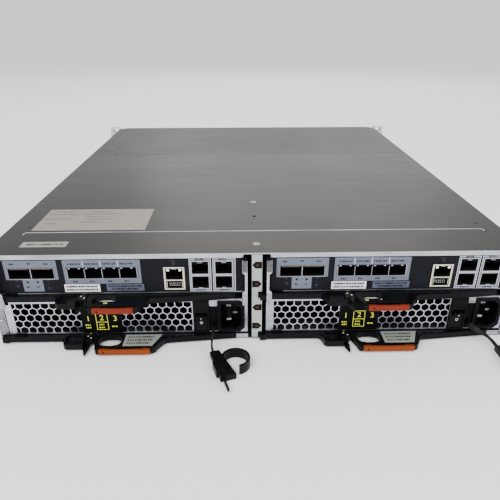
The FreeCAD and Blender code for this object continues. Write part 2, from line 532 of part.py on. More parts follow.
def make_grille_holes(label, across):
    """Six-sided prisms standing on a point, in rows, kept only inside the grille's two fields."""
    prisms = []
    for row in range(int(value("hex_rows"))):
        for column in range(int(value("hex_columns"))):
            prism = document.addObject("Part::Prism", label + "_hole")
            prism.Polygon = 6
            prism.setExpression("Circumradius", bound("hex_radius"))
            prism.setExpression("Height", bound("sheet_wall * 3"))
            prism.Placement = Placement(Vector(), Rotation(Vector(1, 0, 0), -90) * Rotation(Vector(0, 0, 1), 30))
            shift = column + (row % 2) / 2
            prism.setExpression("Placement.Base.x", bound(f"{across} + hex_first_x + {shift} * hex_pitch"))
            prism.setExpression("Placement.Base.y", bound("rear_y - sheet_wall"))
            prism.setExpression("Placement.Base.z", bound(f"hex_first_z + {row} * hex_row"))
            prisms.append(prism)
    field = document.addObject("Part::Compound", label + "_prisms")
    field.Links = prisms
    kept = []
    for name, left, right in (("_left_field", "grille_left", "panel_left"),
                              ("_right_field", "panel_right", "grille_right")):
        side = new_body(label + name, across)
        pad(side, "rear", "-sheet_wall", "sheet_wall * 3", rect(left, "grille_bottom", right, "grille_top"))
        common = document.addObject("Part::Common", side.Name + "_kept")
        common.Base = field
        common.Tool = side
        common.Refine = False
        kept.append(common)
    holes = document.addObject("Part::Compound", label + "_holes")
    holes.Links = kept
    return holes


def make_power_case(prefix, across):
    case = new_body(prefix + "_case", across)
    pad(case, "rear", "sheet_wall", "module_depth - sheet_wall", power_section("0"))
    cut(case, "rear", "sheet_wall", "module_depth - sheet_wall - case_wall", power_section("case_wall"))
    cut(case, "rear", "sheet_wall", "bay_front - sheet_wall",
        rect("-half_module", "power_floor", "half_module", "power_face_bottom"))
    pad(case, "floor", "power_face_bottom", "case_wall",
        rect("-half_module", "sheet_wall", "half_module", "bay_front + case_wall"))
    pad(case, "rear", "bay_front", "case_wall", rect("-half_module", "power_floor", "half_module", "lip_top"))
    inside = "power_floor + case_wall"
    pad(case, "rear", "fan_front - 2", "fan_length + 4",
        rect("fan_x - fan_frame_width / 2", inside, "fan_x + fan_frame_width / 2", "power_top - case_wall"))
    cut(case, "rear", "fan_front - 2", "fan_length + 2.5", ("fan_x", "fan_z", "fan_ring"))
    windows = [[(f"fan_x + ({ax})", f"fan_z + ({az})") for ax, az in
                (("fan_hub + 1", f"{sz} * 1"), ("fan_ring - 2.5", f"{sz} * 1"), ("1", f"{sz} * (fan_ring - 2.5)"),
                 ("1", f"{sz} * (fan_hub + 1)"))] for sz in (-1, 1)]
    windows += [[(f"fan_x - ({ax})", f"fan_z + ({az})") for ax, az in
                 (("fan_hub + 1", f"{sz} * 1"), ("fan_ring - 2.5", f"{sz} * 1"), ("1", f"{sz} * (fan_ring - 2.5)"),
                  ("1", f"{sz} * (fan_hub + 1)"))] for sz in (-1, 1)]
    cut(case, "rear", "fan_front + fan_length + 0.5", "1.5", *windows)
    pad(case, "rear", "fan_front", "fan_length + 1", ("fan_x", "fan_z", "fan_shaft"))
    pad(case, "floor", inside, "board_thickness", rect("-half_module + 6", "60", "half_module - 6", "module_depth - 8"))
    parts_floor = "power_floor + case_wall + board_thickness"
    pad(case, "floor", parts_floor, "26", rect("-20", "110", "24", "150"), rect("50", "70", "54", "190"))
    pad(case, "floor", parts_floor, "28", ("-60", "90", "12"), ("-60", "120", "12"), ("76", "100", "10"))

    face = new_body(prefix + "_face_plate", across)
    step = "half_module - corner_step_width"
    right = [("half_module", "power_face_bottom"), ("half_module", "corner_step_floor"), (step, "corner_step_floor"),
             (step, "power_face_top")]
    outline = right + [(f"-({x})", y) for x, y in reversed(right)]
    pad(face, "rear", "0", "sheet_wall", outline)
    cut(face, "rear", "0", "sheet_wall", socket_outline("(socket_wall + port_fit)"),
        ("anchor_x", "anchor_z", "anchor_radius + port_fit"),
        rect("switch_left - port_fit", "switch_floor - port_fit", "switch_left + switch_width + port_fit",
             "switch_top + port_fit"))
    pad(face, "floor", "power_face_bottom", "case_wall",
        rect("pivot_tab_left", "-pivot_tab", "pivot_tab_right", "sheet_wall"))
    pivot(face, "power_lever_floor", "power_face_bottom")
    grille = document.addObject("Part::Cut", prefix + "_face")
    grille.Label = prefix + "_face"
    grille.Base = face
    grille.Tool = make_grille_holes(prefix + "_grille", across)
    grille.Refine = False


def make_fan(prefix, across):
    fan = new_body(prefix + "_fan", across)
    pad(fan, "rear", "fan_front", "fan_length", ("fan_x", "fan_z", "fan_hub"))
    blades = int(value("fan_blades"))
    bar = [("(fan_hub - 1.2)", 0.5), ("fan_tip", 0.5), ("fan_tip", -0.5), ("(fan_hub - 1.2)", -0.5)]
    for blade in range(blades):
        angle = math.radians(360 * blade / blades)
        c, s = round(math.cos(angle), 4), round(math.sin(angle), 4)
        sections = []
        for at, lean in (("fan_front + 1", -3), ("fan_front + fan_length - 1", 3)):
            corners = [(f"fan_x + ({c}) * {reach} - ({round(s * (half + lean), 4)})",
                        f"fan_z + ({s}) * {reach} + ({round(c * (half + lean), 4)})") for reach, half in bar]
            sections.append(draw(fan, "rear", at, [corners]))
        loft = fan.newObject("PartDesign::AdditiveLoft", fan.Name + "_blade")
        loft.Profile = sections[0]
        loft.Sections = [sections[1]]
        loft.Ruled = True
    cut(fan, "rear", "fan_front", "fan_length", ("fan_x", "fan_z", "fan_shaft + fan_fit"))


def socket_outline(wall):
    """The mains inlet's hole, or its shell at a wall's thickness round the hole."""
    x, z = "(inlet_left + inlet_width / 2)", "((inlet_floor + inlet_top) / 2)"
    left, right = f"{x} - socket_width / 2 - {wall}", f"{x} + socket_width / 2 + {wall}"
    low, high = f"{z} - socket_height / 2 - {wall}", f"{z} + socket_height / 2 + {wall}"
    slant = f"socket_chamfer - {wall} * 0.4"
    return [(left, low), (f"{right} - ({slant})", low), (right, f"{low} + {slant}"), (right, f"{high} - ({slant})"),
            (f"{right} - ({slant})", high), (left, high)]


def make_entry(prefix, across):
    entry = new_body(prefix + "_entry", across)
    right = "inlet_left + inlet_width"
    outline = [("inlet_left", "inlet_floor"), (f"{right} - inlet_chamfer", "inlet_floor"),
               (right, "inlet_floor + inlet_chamfer"), (right, "inlet_top - inlet_chamfer"),
               (f"{right} - inlet_chamfer", "inlet_top"), ("inlet_left", "inlet_top")]
    pad(entry, "rear", "-inlet_reach", "inlet_reach", outline)
    pad(entry, "rear", "0", "inlet_depth", socket_outline("socket_wall"))
    pad(entry, "rear", "-switch_reach", "16 + switch_reach",
        rect("switch_left", "switch_floor", "switch_left + switch_width", "switch_top"))
    x, z = "(inlet_left + inlet_width / 2)", "((inlet_floor + inlet_top) / 2)"
    cut(entry, "rear", "-inlet_reach", "socket_depth", socket_outline("0"))
    pins = [box_at(f"({x} - 2)", f"({z} {sense} pin_rise)", "pin_height", "pin_width") for sense in ("-", "+")]
    pins.append(box_at(f"({x} + pin_ground)", z, "pin_height", "pin_width"))
    pad(entry, "rear", "socket_depth - inlet_reach - pin_length", "pin_length", *pins)
    middle = "(switch_left + switch_width / 2)"
    cut(entry, "rear", "-switch_reach", "rocker_well_depth",
        box_at(middle, "rocker_z", "(rocker_width + clearance * 2)", "(rocker_height + clearance * 2)"))
    pad(entry, "side", f"{middle} - rocker_width / 2 - clearance * 2", "rocker_width + clearance * 4",
        ("rocker_axle_y", "rocker_z", "rocker_axle"))
    pad(entry, "rear", "-anchor_reach", "anchor_reach + sheet_wall * 2", ("anchor_x", "anchor_z", "anchor_radius"))
    pad(entry, "rear", "sheet_wall + clearance", "sheet_wall * 2",
        rect("anchor_x - anchor_radius", "anchor_z - anchor_radius", f"{x} - socket_width / 2", "anchor_z + anchor_radius"))

    rocker = new_body(prefix + "_rocker", f"{across} + switch_left + switch_width / 2", "rocker_z")
    half = "rocker_height / 2"
    section = [("-switch_reach + 0.4", f"-({half}) + 0.2"), ("-switch_reach + 0.9", "-1"),
               ("-switch_reach + 0.4", "2"), ("-switch_reach - rocker_lift", f"{half} - 2.2"),
               ("-switch_reach - rocker_lift + 0.8", f"{half} - 1.8"), ("-0.5", f"{half} - 0.8"),
               ("rocker_axle_y + 2", f"{half} - 0.9"), ("rocker_axle_y + 4", "0"),
               ("rocker_axle_y + 2", f"-({half}) + 1.2")]
    pad(rocker, "side", "-rocker_width / 2", "rocker_width", section)
    cut(rocker, "side", "-rocker_width / 2", "rocker_width", ("rocker_axle_y", "0", "rocker_axle + rocker_fit"))


# Ejector levers, their latches and straps: the same parts at two heights

def grip_outline(trim):
    """The lever's outline from the nose, along the front of the arm, round the grip and back."""
    far = f"(latch_right - {trim})"
    grip = f"(grip_right - {trim})"
    return [("nose_left", "lever_back"), ("nose_left", "-nose_front"), ("nose_right", "-nose_front"),
            ("nose_right + 1.5", "-lever_front"), ("hump_left", "-lever_front"), ("hump_left + 2", "-6"),
            ("hump_left + 4", "-hump_front + 1.5"), ("hump_left + 6", "-hump_front"), ("hump_right", "-hump_front"),
            ("hump_right", "-waist_front"), ("waist_right", "-waist_front"), ("waist_right + 1", "-11"),
            ("waist_right + 3", "-16.5"), ("grip_left - 1.5", "-grip_front + 1.6"), ("grip_left", "-grip_front"),
            ("latch_left", "-grip_front"), ("latch_left", "-rim_front"), (far, "-rim_front"),
            (far, "-grip_front + 0.4"), (f"{far} + 2", "-grip_front + 0.7"),
            (f"{far} + 4", "-grip_front + 2.6"), (grip, "-17"), (f"{grip} + 3", "-12.2"),
            (f"{grip} + 5", "-9"), (f"taper_end - {trim}", "-taper_front"), ("55", "-5.2"),
            ("arm_tip", "-arm_tip_front"),
            ("arm_tip", "lever_back")]


def hole_outline():
    """The finger hole, a rounded oblong with its corners drawn as short straights."""
    left, right = "hole_left", "hole_left + hole_width"
    near, far = "-hole_near", "-hole_far"
    cuts = [(0, 1), (0.2, 0.4), (0.4, 0.2), (1, 0)]
    outline = []
    for x, y, sx, sy in ((left, far, 1, 1), (right, far, -1, 1), (right, near, -1, -1), (left, near, 1, -1)):
        corner = [(f"{x} + {sx} * {a} * hole_round", f"{y} + {sy} * {b} * hole_round") for a, b in cuts]
        outline += corner if sx * sy > 0 else list(reversed(corner))
    return outline


def lever_base(prefix):
    return "power_lever_floor" if prefix.startswith("power") else "controller_lever_floor"


def make_lever(prefix, across):
    floor = lever_base(prefix)
    trim = "0" if prefix.startswith("power") else "controller_trim"
    far = f"(latch_right - {trim})"
    lever = new_body(prefix + "_lever", across, floor)
    pad(lever, "floor", "0", "lever_thickness", grip_outline(trim))
    cut(lever, "floor", "0", "lever_thickness", ("pivot_x", "0", "pivot_radius + pivot_fit"), hole_outline())
    dish = [("hump_left + 4.5", "-1.5"), ("hump_left + 5.5", "-hump_front + 2.2"),
            ("hump_right - 1.4", "-hump_front + 1.6"), ("hump_right - 1.4", "-1.5")]
    cut(lever, "floor", "lever_thickness - hump_dish", "hump_dish", dish)
    step = rect("hump_right", "-waist_front", "waist_right", "lever_back")
    cut(lever, "floor", "0", "waist_step", step)
    cut(lever, "floor", "lever_thickness - waist_step", "waist_step", step)
    guides = [rect(f"{x} - 1.5 - clearance", "-rim_front", f"{x} + 1.5 + clearance", "-rim_front + 3.5 + clearance")
              for x in ("(latch_left + 5)", f"({far} - 5)")]
    cut(lever, "floor", "1.2", "lever_thickness - 2.4", *guides)

    latch = new_body(prefix + "_latch", across, floor)
    left, right = "latch_left + clearance", f"{far} - clearance"
    middle = f"((latch_left + {far}) / 2)"
    bar = [(left, "-latch_front"), (right, "-latch_front"), (right, "-latch_back"),
           (f"{middle} + 9", "-latch_back - latch_bow * 0.7"), (middle, "-latch_back - latch_bow"),
           (f"{middle} - 9", "-latch_back - latch_bow * 0.7"), (left, "-latch_back")]
    pad(latch, "floor", "0.2", "lever_thickness - 0.4", bar)
    prongs = [rect(f"{x} - 1.5", "-latch_back - latch_bow", f"{x} + 1.5", "-rim_front + 1.6")
              for x in ("(latch_left + 5)", f"({far} - 5)")]
    pad(latch, "floor", "1.2 + clearance", "lever_thickness - 2.4 - clearance * 2", *prongs)

    strap = new_body(prefix + "_strap", across, floor)
    left, right = "hump_right + clearance", "hump_right + clearance + strap_width"
    low, high = "waist_step - clearance", "lever_thickness - waist_step + clearance"
    near, far = "-waist_front - clearance", "lever_back + clearance"
    ring = rect(f"{near} - strap_thickness", f"{low} - strap_thickness", f"{far} + strap_thickness",
                f"{high} + strap_thickness")
    pad(strap, "side", left, "strap_width", ring)
    cut(strap, "side", left, "strap_width", rect(near, low, far, high))
    tail = [(left, f"{near}"), (left, "-strap_reach + 7"), (f"{left} + strap_width / 2 - strap_tip / 2",
             "-strap_reach"), (f"{left} + strap_width / 2 + strap_tip / 2", "-strap_reach"),
            (f"{right} - 1.6", "-strap_reach + 8"), (f"{right} - 1.6", f"{near}")]
    pad(strap, "floor", f"{low} - strap_thickness", "strap_thickness", tail)


# Cord retainers

def make_retainer(prefix, across):
    """A strap that hangs from its anchor to the surface, and the clip that slides along its last stretch."""
    route = tie_routes[prefix]
    points = [Vector(*spot) for spot in route]
    tie = document.addObject("Part::Feature", prefix + "_retainer")
    tie.Label = prefix + "_retainer"
    radius = value("tie_radius")
    solid = None
    for start, end in zip(points, points[1:]):
        run = end - start
        piece = Part.makeCylinder(radius, run.Length, start, run)
        solid = piece if solid is None else solid.fuse(piece)
        solid = solid.fuse(Part.makeSphere(radius, end))
    tie.Shape = solid.removeSplitter()
    tie.setExpression("Placement.Base.x", bound(across))
    tie.setExpression("Placement.Base.y", bound("rear_y"))

    last, before = route[-1], route[-2]
    heading = math.degrees(math.atan2(last[1] - before[1], last[0] - before[0]))
    clip = new_body(prefix + "_clip", f"{across} + {before[0]}", f"{before[2]}")
    clip.setExpression("Placement.Base.y", bound(f"rear_y + {before[1]}"))
    clip.Placement.Rotation = Rotation(Vector(0, 0, 1), heading)
    floor = f"-{before[2]} + clearance / 2"
    rail_end = "clip_start + rail_length"
    rail = [("clip_start", "-rail_left"), (rail_end, "-rail_left"), (rail_end, "rail_right_end"),
            ("clip_start", "rail_right_start")]
    pad(clip, "floor", floor, "rail_height", rail)
    pad(clip, "floor", floor, "block_height",
        rect("block_start", "-block_left", "block_start + block_length", "block_right"))
    outer, inner = "loop_radius", "(loop_radius - loop_wall)"
    band, count = [], 14
    for radius_name, order in ((outer, range(count + 1)), (inner, range(count, -1, -1))):
        for i in order:
            angle = math.radians(-2 + 234 * i / count)
            band.append((f"loop_x + ({round(math.cos(angle), 4)}) * {radius_name}",
                         f"loop_y + ({round(math.sin(angle), 4)}) * {radius_name}"))
    pad(clip, "floor", floor, "loop_height", band)
    cut(clip, "side", "clip_start", "rail_length", ("0", "0", "tie_radius + clip_fit"))


make_tub()
make_covers()
make_center_wall()
make_midplane()
make_cage()
make_drives()
make_ears()
for letter, offset in (("a", "-module_offset"), ("b", "module_offset")):
    make_controller("controller_" + letter, offset)
    make_power_case("power_" + letter, offset)
    make_fan("power_" + letter, offset)
    make_entry("power_" + letter, offset)
    make_retainer("power_" + letter, offset)
    for unit in ("controller_", "power_"):
        make_lever(unit + letter, offset)

document.recompute()

os.makedirs("parts", exist_ok=True)
helpers = ("_face_plate", "_field")
pieces = [item for item in document.Objects
          if (item.TypeId == "PartDesign::Body" and not item.Label.endswith(helpers))
          or item.TypeId == "Part::Cut" or item.Label.endswith("_retainer")]
for item in document.Objects:
    if "Invalid" in item.State or "Error" in item.State:
        raise RuntimeError(f"{item.Label} did not build: {item.State}")
for piece in pieces:
    if piece.Shape.isNull() or not piece.Shape.isValid():
        raise RuntimeError(f"{piece.Label} has no valid shape")
for piece in pieces:
    piece.Shape.exportStep(f"parts/{piece.Label}.step")
    print(piece.Label, len(piece.Shape.Solids), len(piece.Shape.Faces))
print("pieces", len(pieces))
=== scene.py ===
import bpy
import bmesh
import json
import math
from mathutils import Matrix, Vector

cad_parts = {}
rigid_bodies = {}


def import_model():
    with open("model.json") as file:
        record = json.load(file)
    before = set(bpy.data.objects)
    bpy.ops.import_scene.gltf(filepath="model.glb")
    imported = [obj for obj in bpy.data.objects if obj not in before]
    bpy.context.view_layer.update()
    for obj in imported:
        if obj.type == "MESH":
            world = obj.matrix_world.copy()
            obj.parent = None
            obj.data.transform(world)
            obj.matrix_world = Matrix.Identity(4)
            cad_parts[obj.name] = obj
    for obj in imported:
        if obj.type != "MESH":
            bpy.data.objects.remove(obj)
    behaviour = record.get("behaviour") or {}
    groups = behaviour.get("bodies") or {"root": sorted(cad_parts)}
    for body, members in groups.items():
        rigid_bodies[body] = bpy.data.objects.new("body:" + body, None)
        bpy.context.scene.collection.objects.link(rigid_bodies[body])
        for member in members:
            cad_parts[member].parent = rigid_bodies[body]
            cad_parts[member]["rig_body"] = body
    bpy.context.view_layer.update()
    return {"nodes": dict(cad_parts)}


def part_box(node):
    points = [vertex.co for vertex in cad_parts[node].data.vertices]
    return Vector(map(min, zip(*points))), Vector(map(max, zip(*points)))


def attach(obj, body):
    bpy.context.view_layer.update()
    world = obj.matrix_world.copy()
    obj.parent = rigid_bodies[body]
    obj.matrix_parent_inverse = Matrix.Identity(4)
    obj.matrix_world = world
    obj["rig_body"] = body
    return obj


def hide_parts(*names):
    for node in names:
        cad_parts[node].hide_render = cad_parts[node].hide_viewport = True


# A rack storage filer seen from the rear. X runs across the rear, Y goes in towards the drives, Z is up.
# Places are in metres from the CAD frame; inside a module they are given in millimetres from its middle.

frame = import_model()
nodes = frame["nodes"]

chassis = {"rearFace": -0.249, "moduleCentre": {"a": -0.1113, "b": 0.1113}, "height": 0.084}
rear, coverTop = chassis["rearFace"], chassis["height"]
allSides = ("a", "b")


def place(side, across, out, up):
    # A point of a module, from millimetres to the frame's metres.
    return Vector((chassis["moduleCentre"][side] + across / 1000, rear + out / 1000, up / 1000))


def onCover(across, out, lift=0.0):
    # A point on the cover, from millimetres off its middle, in from the rear face and above the sheet.
    return Vector((across / 1000, rear + out / 1000, coverTop + lift / 1000))


def circle(radius, count):
    turns = [2 * math.pi * i / count for i in range(count)]
    return [(radius * math.cos(turn), radius * math.sin(turn)) for turn in turns]


def linear(hexText):
    # An sRGB hex colour as linear RGBA.
    parts = [int(hexText[i:i + 2], 16) / 255 for i in (1, 3, 5)]
    return [c / 12.92 if c <= 0.04045 else ((c + 0.055) / 1.055) ** 2.4 for c in parts] + [1.0]


def addNode(tree, kind, inputs=None, **settings):
    # Adds a node, with its settings first and its values and links after.
    node = tree.nodes.new(kind)
    for key, setting in settings.items():
        setattr(node, key, setting)
    for key, source in (inputs or {}).items():
        if isinstance(source, bpy.types.NodeSocket):
            tree.links.new(source, node.inputs[key])
        else:
            node.inputs[key].default_value = source
    return node


def startFinish(name, **values):
    material = bpy.data.materials.new(name)
    material.use_nodes = True
    tree = material.node_tree
    shader = tree.nodes["Principled BSDF"]
    for key, setting in values.items():
        shader.inputs[key.replace("_", " ")].default_value = setting
    coords = addNode(tree, "ShaderNodeTexCoord").outputs["Object"]
    return material, tree, shader, coords


def toned(shade, factor, lift=0.0):
    # The same colour made lighter or darker.
    return [min(1, c * factor + lift) for c in shade[:3]] + [1.0]


def joinPatterns(tree, shader, share, colours, rough=None, bump=None, span=(0.0, 1.0)):
    # A share between two colours, a roughness of (pattern, low, high) over a span of the pattern, and a bump
    # of (pattern, strength, depth in metres).
    tone = addNode(tree, "ShaderNodeMix", {0: share, 6: colours[0], 7: colours[1]}, data_type="RGBA")
    tree.links.new(tone.outputs[2], shader.inputs["Base Color"])
    if rough:
        spread = addNode(tree, "ShaderNodeMapRange", {
            "Value": rough[0], "From Min": span[0], "From Max": span[1],
            "To Min": rough[1], "To Max": rough[2]})
        tree.links.new(spread.outputs[0], shader.inputs["Roughness"])
    if bump:
        relief = addNode(tree, "ShaderNodeBump", dict(zip(("Height", "Strength", "Distance"), bump)))
        tree.links.new(relief.outputs[0], shader.inputs["Normal"])


def sheetSteel(name, light, dark, roughness, streak, streakScale, cloudScale=18, wear=0.12):
    # zinc-coated or brushed sheet: fine lines one way, soft clouds of oxide a few centimetres wide
    material, tree, shader, coords = startFinish(name, Metallic=1.0)
    stretched = addNode(tree, "ShaderNodeMapping", {"Vector": coords, "Scale": streakScale}).outputs[0]
    lines = addNode(tree, "ShaderNodeTexNoise", {
        "Vector": stretched, "Scale": 1.0, "Detail": 3.0, "Roughness": 0.6}).outputs[0]
    clouds = addNode(tree, "ShaderNodeTexNoise", {
        "Vector": coords, "Scale": cloudScale, "Detail": 5.0, "Roughness": 0.55}).outputs[0]
    mixed = addNode(tree, "ShaderNodeMix", {0: streak, 2: clouds, 3: lines}, data_type="FLOAT").outputs[0]
    spread = addNode(tree, "ShaderNodeMapRange", {"Value": mixed, "From Min": 0.34, "From Max": 0.66})
    joinPatterns(tree, shader, spread.outputs[0], (linear(dark), linear(light)),
                 (mixed, roughness - wear, roughness + wear), (lines, 0.12, 0.0004), (0.3, 0.7))
    return material


def mouldedPlastic(name, colour, roughness, grainDepth=0.25, shine=0.5):
    # injection-moulded plastic: a fine spark-eroded grain, a little duller and dustier in patches
    material, tree, shader, coords = startFinish(name, IOR=1.5, Specular_IOR_Level=shine)
    grain = addNode(tree, "ShaderNodeTexNoise", {"Vector": coords, "Scale": 900.0, "Detail": 2.0}).outputs[0]
    patch = addNode(tree, "ShaderNodeTexNoise", {
        "Vector": coords, "Scale": 60.0, "Detail": 4.0, "Roughness": 0.6}).outputs[0]
    shade = linear(colour)
    joinPatterns(tree, shader, patch, (shade, toned(shade, 1.24, 0.002)),
                 (patch, roughness - 0.07, roughness + 0.09), (grain, grainDepth, 0.0002), (0.3, 0.7))
    return material


def powderCoat(name, colour, roughness, shine=0.5):
    # powder-coated steel: a satin skin with a slight orange peel about 1 mm wide
    material, tree, shader, coords = startFinish(name, IOR=1.5, Specular_IOR_Level=shine)
    peel = addNode(tree, "ShaderNodeTexNoise", {"Vector": coords, "Scale": 500.0, "Detail": 3.0}).outputs[0]
    haze = addNode(tree, "ShaderNodeTexNoise", {"Vector": coords, "Scale": 35.0, "Detail": 3.0}).outputs[0]
    shade = linear(colour)
    joinPatterns(tree, shader, haze, (shade, toned(shade, 1.25, 0.002)),
                 (haze, roughness - 0.06, roughness + 0.08), (peel, 0.18, 0.0003))
    return material


def printedFilm(name, colour, roughness=0.45, shine=0.5):
    # printed polyester film on an adhesive: flat ink with a faint grey haze from handling
    material, tree, shader, coords = startFinish(name, IOR=1.46, Specular_IOR_Level=shine)
    haze = addNode(tree, "ShaderNodeTexNoise", {
        "Vector": coords, "Scale": 120.0, "Detail": 5.0, "Roughness": 0.7}).outputs[0]
    amount = addNode(tree, "ShaderNodeMapRange", {"Value": haze, "From Min": 0.45, "From Max": 0.75})
    shade = linear(colour)
    joinPatterns(tree, shader, amount.outputs[0], (shade, toned(shade, 0.86)),
                 (haze, roughness - 0.08, roughness + 0.12))
    return material


def boardLaminate(name):
    # glass-epoxy board under green solder mask: copper tracks show as slightly lighter lines 1 mm apart
    material, tree, shader, coords = startFinish(name, IOR=1.5, Roughness=0.35)
    tracks = addNode(tree, "ShaderNodeTexBrick", {
        "Vector": coords, "Color1": linear("#174c2e"), "Color2": linear("#1b5736"),
        "Mortar": linear("#296c42"), "Scale": 90.0, "Mortar Size": 0.015})
    tree.links.new(tracks.outputs["Color"], shader.inputs["Base Color"])
    return material


def clothGasket(name):
    # conductive woven cloth over foam: crossing threads about 0.6 mm apart, drawn 1 mm wide to show
    material, tree, shader, coords = startFinish(name, Roughness=0.6, Metallic=0.55)
    threads = addNode(tree, "ShaderNodeTexVoronoi", {"Vector": coords, "Scale": 900.0}).outputs["Distance"]
    ramp = addNode(tree, "ShaderNodeMapRange", {"Value": threads, "From Max": 0.7})
    joinPatterns(tree, shader, ramp.outputs[0], (linear("#7b7a78"), linear("#444443")),
                 bump=(threads, 0.5, 0.0004))
    return material


def platedMetal(name, colour, roughness):
    # small plated parts: bright, with a soft blur from the pickled surface
    material, tree, shader, coords = startFinish(name, Metallic=1.0)
    blur = addNode(tree, "ShaderNodeTexNoise", {"Vector": coords, "Scale": 400.0, "Detail": 3.0}).outputs[0]
    shade = linear(colour)
    joinPatterns(tree, shader, blur, (shade, toned(shade, 0.8)), (blur, roughness - 0.08, roughness + 0.1))
    return material


finish = {
    "galvanised": sheetSteel("Galvanised sheet steel", "#9fa1a6", "#6c6e73", 0.42, 0.35, (60, 260, 260)),
    "coverSheet": sheetSteel("Brushed cover sheet", "#414140", "#262626", 0.38, 0.45, (14, 420, 420), 6),
    "deckSheet": sheetSteel("Brushed deck sheet", "#3f3f3e", "#242424", 0.40, 0.45, (14, 420, 420), 6),
    # bright steel for the small bright parts, and a painted highlight on the cover's bent edge, its bead and
    # the tub's floor edge
    "brightSteelAndHighlight": sheetSteel("Bright sheet steel and painted highlight", "#cbccd2", "#9698a0", 0.28, 0.5, (30, 500, 500)),
    "stripSheet": powderCoat("Satin light grey strip", "#98a09b", 0.5, shine=0.3),
    "board": boardLaminate("Glass-epoxy board"),
    "ear": mouldedPlastic("Pale grey ear cap", "#b4b7ba", 0.5),
    "carrier": mouldedPlastic("Dark carrier plastic", "#2b2c31", 0.42),
    "face": powderCoat("Dark powder-coated face", "#0f0f15", 0.55, shine=0.08),
    "portShell": sheetSteel("Tinned port shell", "#97999f", "#6d6f75", 0.35, 0.3, (200, 200, 200), 60),
    "jack": mouldedPlastic("Cream jack plastic", "#b9b29f", 0.4),
    "lever": mouldedPlastic("Black lever plastic", "#050507", 0.3, grainDepth=0.06, shine=0.1),
    "redLatch": mouldedPlastic("Red-brown latch plastic", "#661e0a", 0.42, shine=0.15),
    "orangeLatch": mouldedPlastic("Orange latch plastic", "#702f08", 0.42, shine=0.15),
    "strap": mouldedPlastic("Black nylon strap", "#040405", 0.3, shine=0.2),
    "grille": sheetSteel("Bright perforated steel", "#c6c6d2", "#9c9caa", 0.34, 0.25, (120, 120, 120), 40),
    "fan": mouldedPlastic("Black fan plastic", "#08080a", 0.45, shine=0.2),
    "fitting": mouldedPlastic("Black fitting plastic", "#050507", 0.4, shine=0.08),
    "rocker": mouldedPlastic("Black rocker plastic", "#040406", 0.3, grainDepth=0.05, shine=0.1),
    "tie": mouldedPlastic("Black nylon tie", "#050506", 0.36, shine=0.16),
    "clip": mouldedPlastic("Black clip plastic", "#050506", 0.42, shine=0.12),
    "screw": platedMetal("Zinc-plated screw", "#b9babd", 0.3),
    "dullScrew": platedMetal("Dulled cover screw", "#9c9ea2", 0.45),
    "pin": platedMetal("Nickel-plated pin", "#e2e2e4", 0.2),
    "contact": platedMetal("Gold-plated contact", "#a87835", 0.3),
    "dimContact": platedMetal("Gold contact in shade", "#3a2a1a", 0.5),
    "overlay": printedFilm("Grey printed overlay", "#5f6572", shine=0.3),
    "dimPrint": printedFilm("Dim grey ink", "#3c3d46", shine=0.2),
    "whiteFilm": printedFilm("White label film", "#ececf0"),
    "blueFilm": printedFilm("Grey-blue label film", "#4b5160", shine=0.3),
    "blackFilm": printedFilm("Black label film", "#050506", 0.4, shine=0.08),
    "leverFilm": printedFilm("Pale lever label film", "#8b8f88"),
    "topFilm": printedFilm("Beige cover label film", "#827d74"),
    "print": printedFilm("Black printing ink", "#09090c", shine=0.15),
    "whitePrint": printedFilm("White printing ink", "#d6d8de"),
    "faintPrint": printedFilm("Faded printing ink", "#45413c"),
    "yellowPrint": printedFilm("Yellow printing ink", "#d9e244"),
    "brownPrint": printedFilm("Brown printing ink", "#3c1d16", shine=0.2),
    "gasket": clothGasket("Conductive cloth gasket"),
    # near-black painted shade, on steel and plastic alike: inside holes and openings, behind the perforated
    # face, in gaps and under the levers
    "dark": mouldedPlastic("Black for painted shade", "#030304", 0.8, shine=0.05),
    "jackShell": platedMetal("Nickel jack shell", "#b6b8bf", 0.42),
    "pinkEdge": printedFilm("Rosy port lip", "#6a5d60", shine=0.2),
    # a darkened steel: painted shade on the walls of the perforations, in the cover's dimples and on the
    # floors of the screw recesses
    "holeShade": sheetSteel("Painted shade in holes and hollows", "#4a4a52", "#2e2e34", 0.5, 0.2, (200, 200, 200), 60),
    # the grille's steel darkened: painted shade on the mesh inside the case
    "innerWeb": sheetSteel("Inner mesh in painted shade", "#2f3035", "#1f2024", 0.6, 0.2, (120, 120, 120), 40),
    "footFilm": printedFilm("Grey leaf foot", "#8e9197"),
    "heatSink": platedMetal("Anodised heat sink", "#a3a5a9", 0.45),
}
print("finishes made:", len(finish))


def newObject(name, data):
    made = bpy.data.objects.new(name, data)
    bpy.context.scene.collection.objects.link(made)
    return made


def addPiece(name, mesh, look, body, replaced=()):
    mesh.materials.clear()
    mesh.materials.append(finish[look])
    piece = newObject(name, mesh)
    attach(piece, body)
    if replaced:
        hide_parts(*replaced)
    return piece


def applied(piece):
    # The piece's mesh with its modifiers worked in.
    bpy.context.view_layer.update()
    depsgraph = bpy.context.evaluated_depsgraph_get()
    mesh = bpy.data.meshes.new_from_object(piece.evaluated_get(depsgraph))
    piece.modifiers.clear()
    piece.data = mesh
    return mesh


def meshFrom(build, name):
    mesh = bpy.data.meshes.new(name)
    work = bmesh.new()
    build(work)
    bmesh.ops.recalc_face_normals(work, faces=work.faces)
    work.to_mesh(mesh)
    work.free()
    return mesh


def curveMesh(curve):
    # The plain mesh that a curve or a text draws.
    holder = newObject(curve.name + "_line", curve)
    bpy.context.view_layer.update()
    mesh = bpy.data.meshes.new_from_object(holder.evaluated_get(bpy.context.evaluated_depsgraph_get()))
    bpy.data.objects.remove(holder)
    return mesh


def joinRings(work, first, second):
    for i in range(len(first)):
        k = (i + 1) % len(first)
        work.faces.new([first[i], first[k], second[k], second[i]])


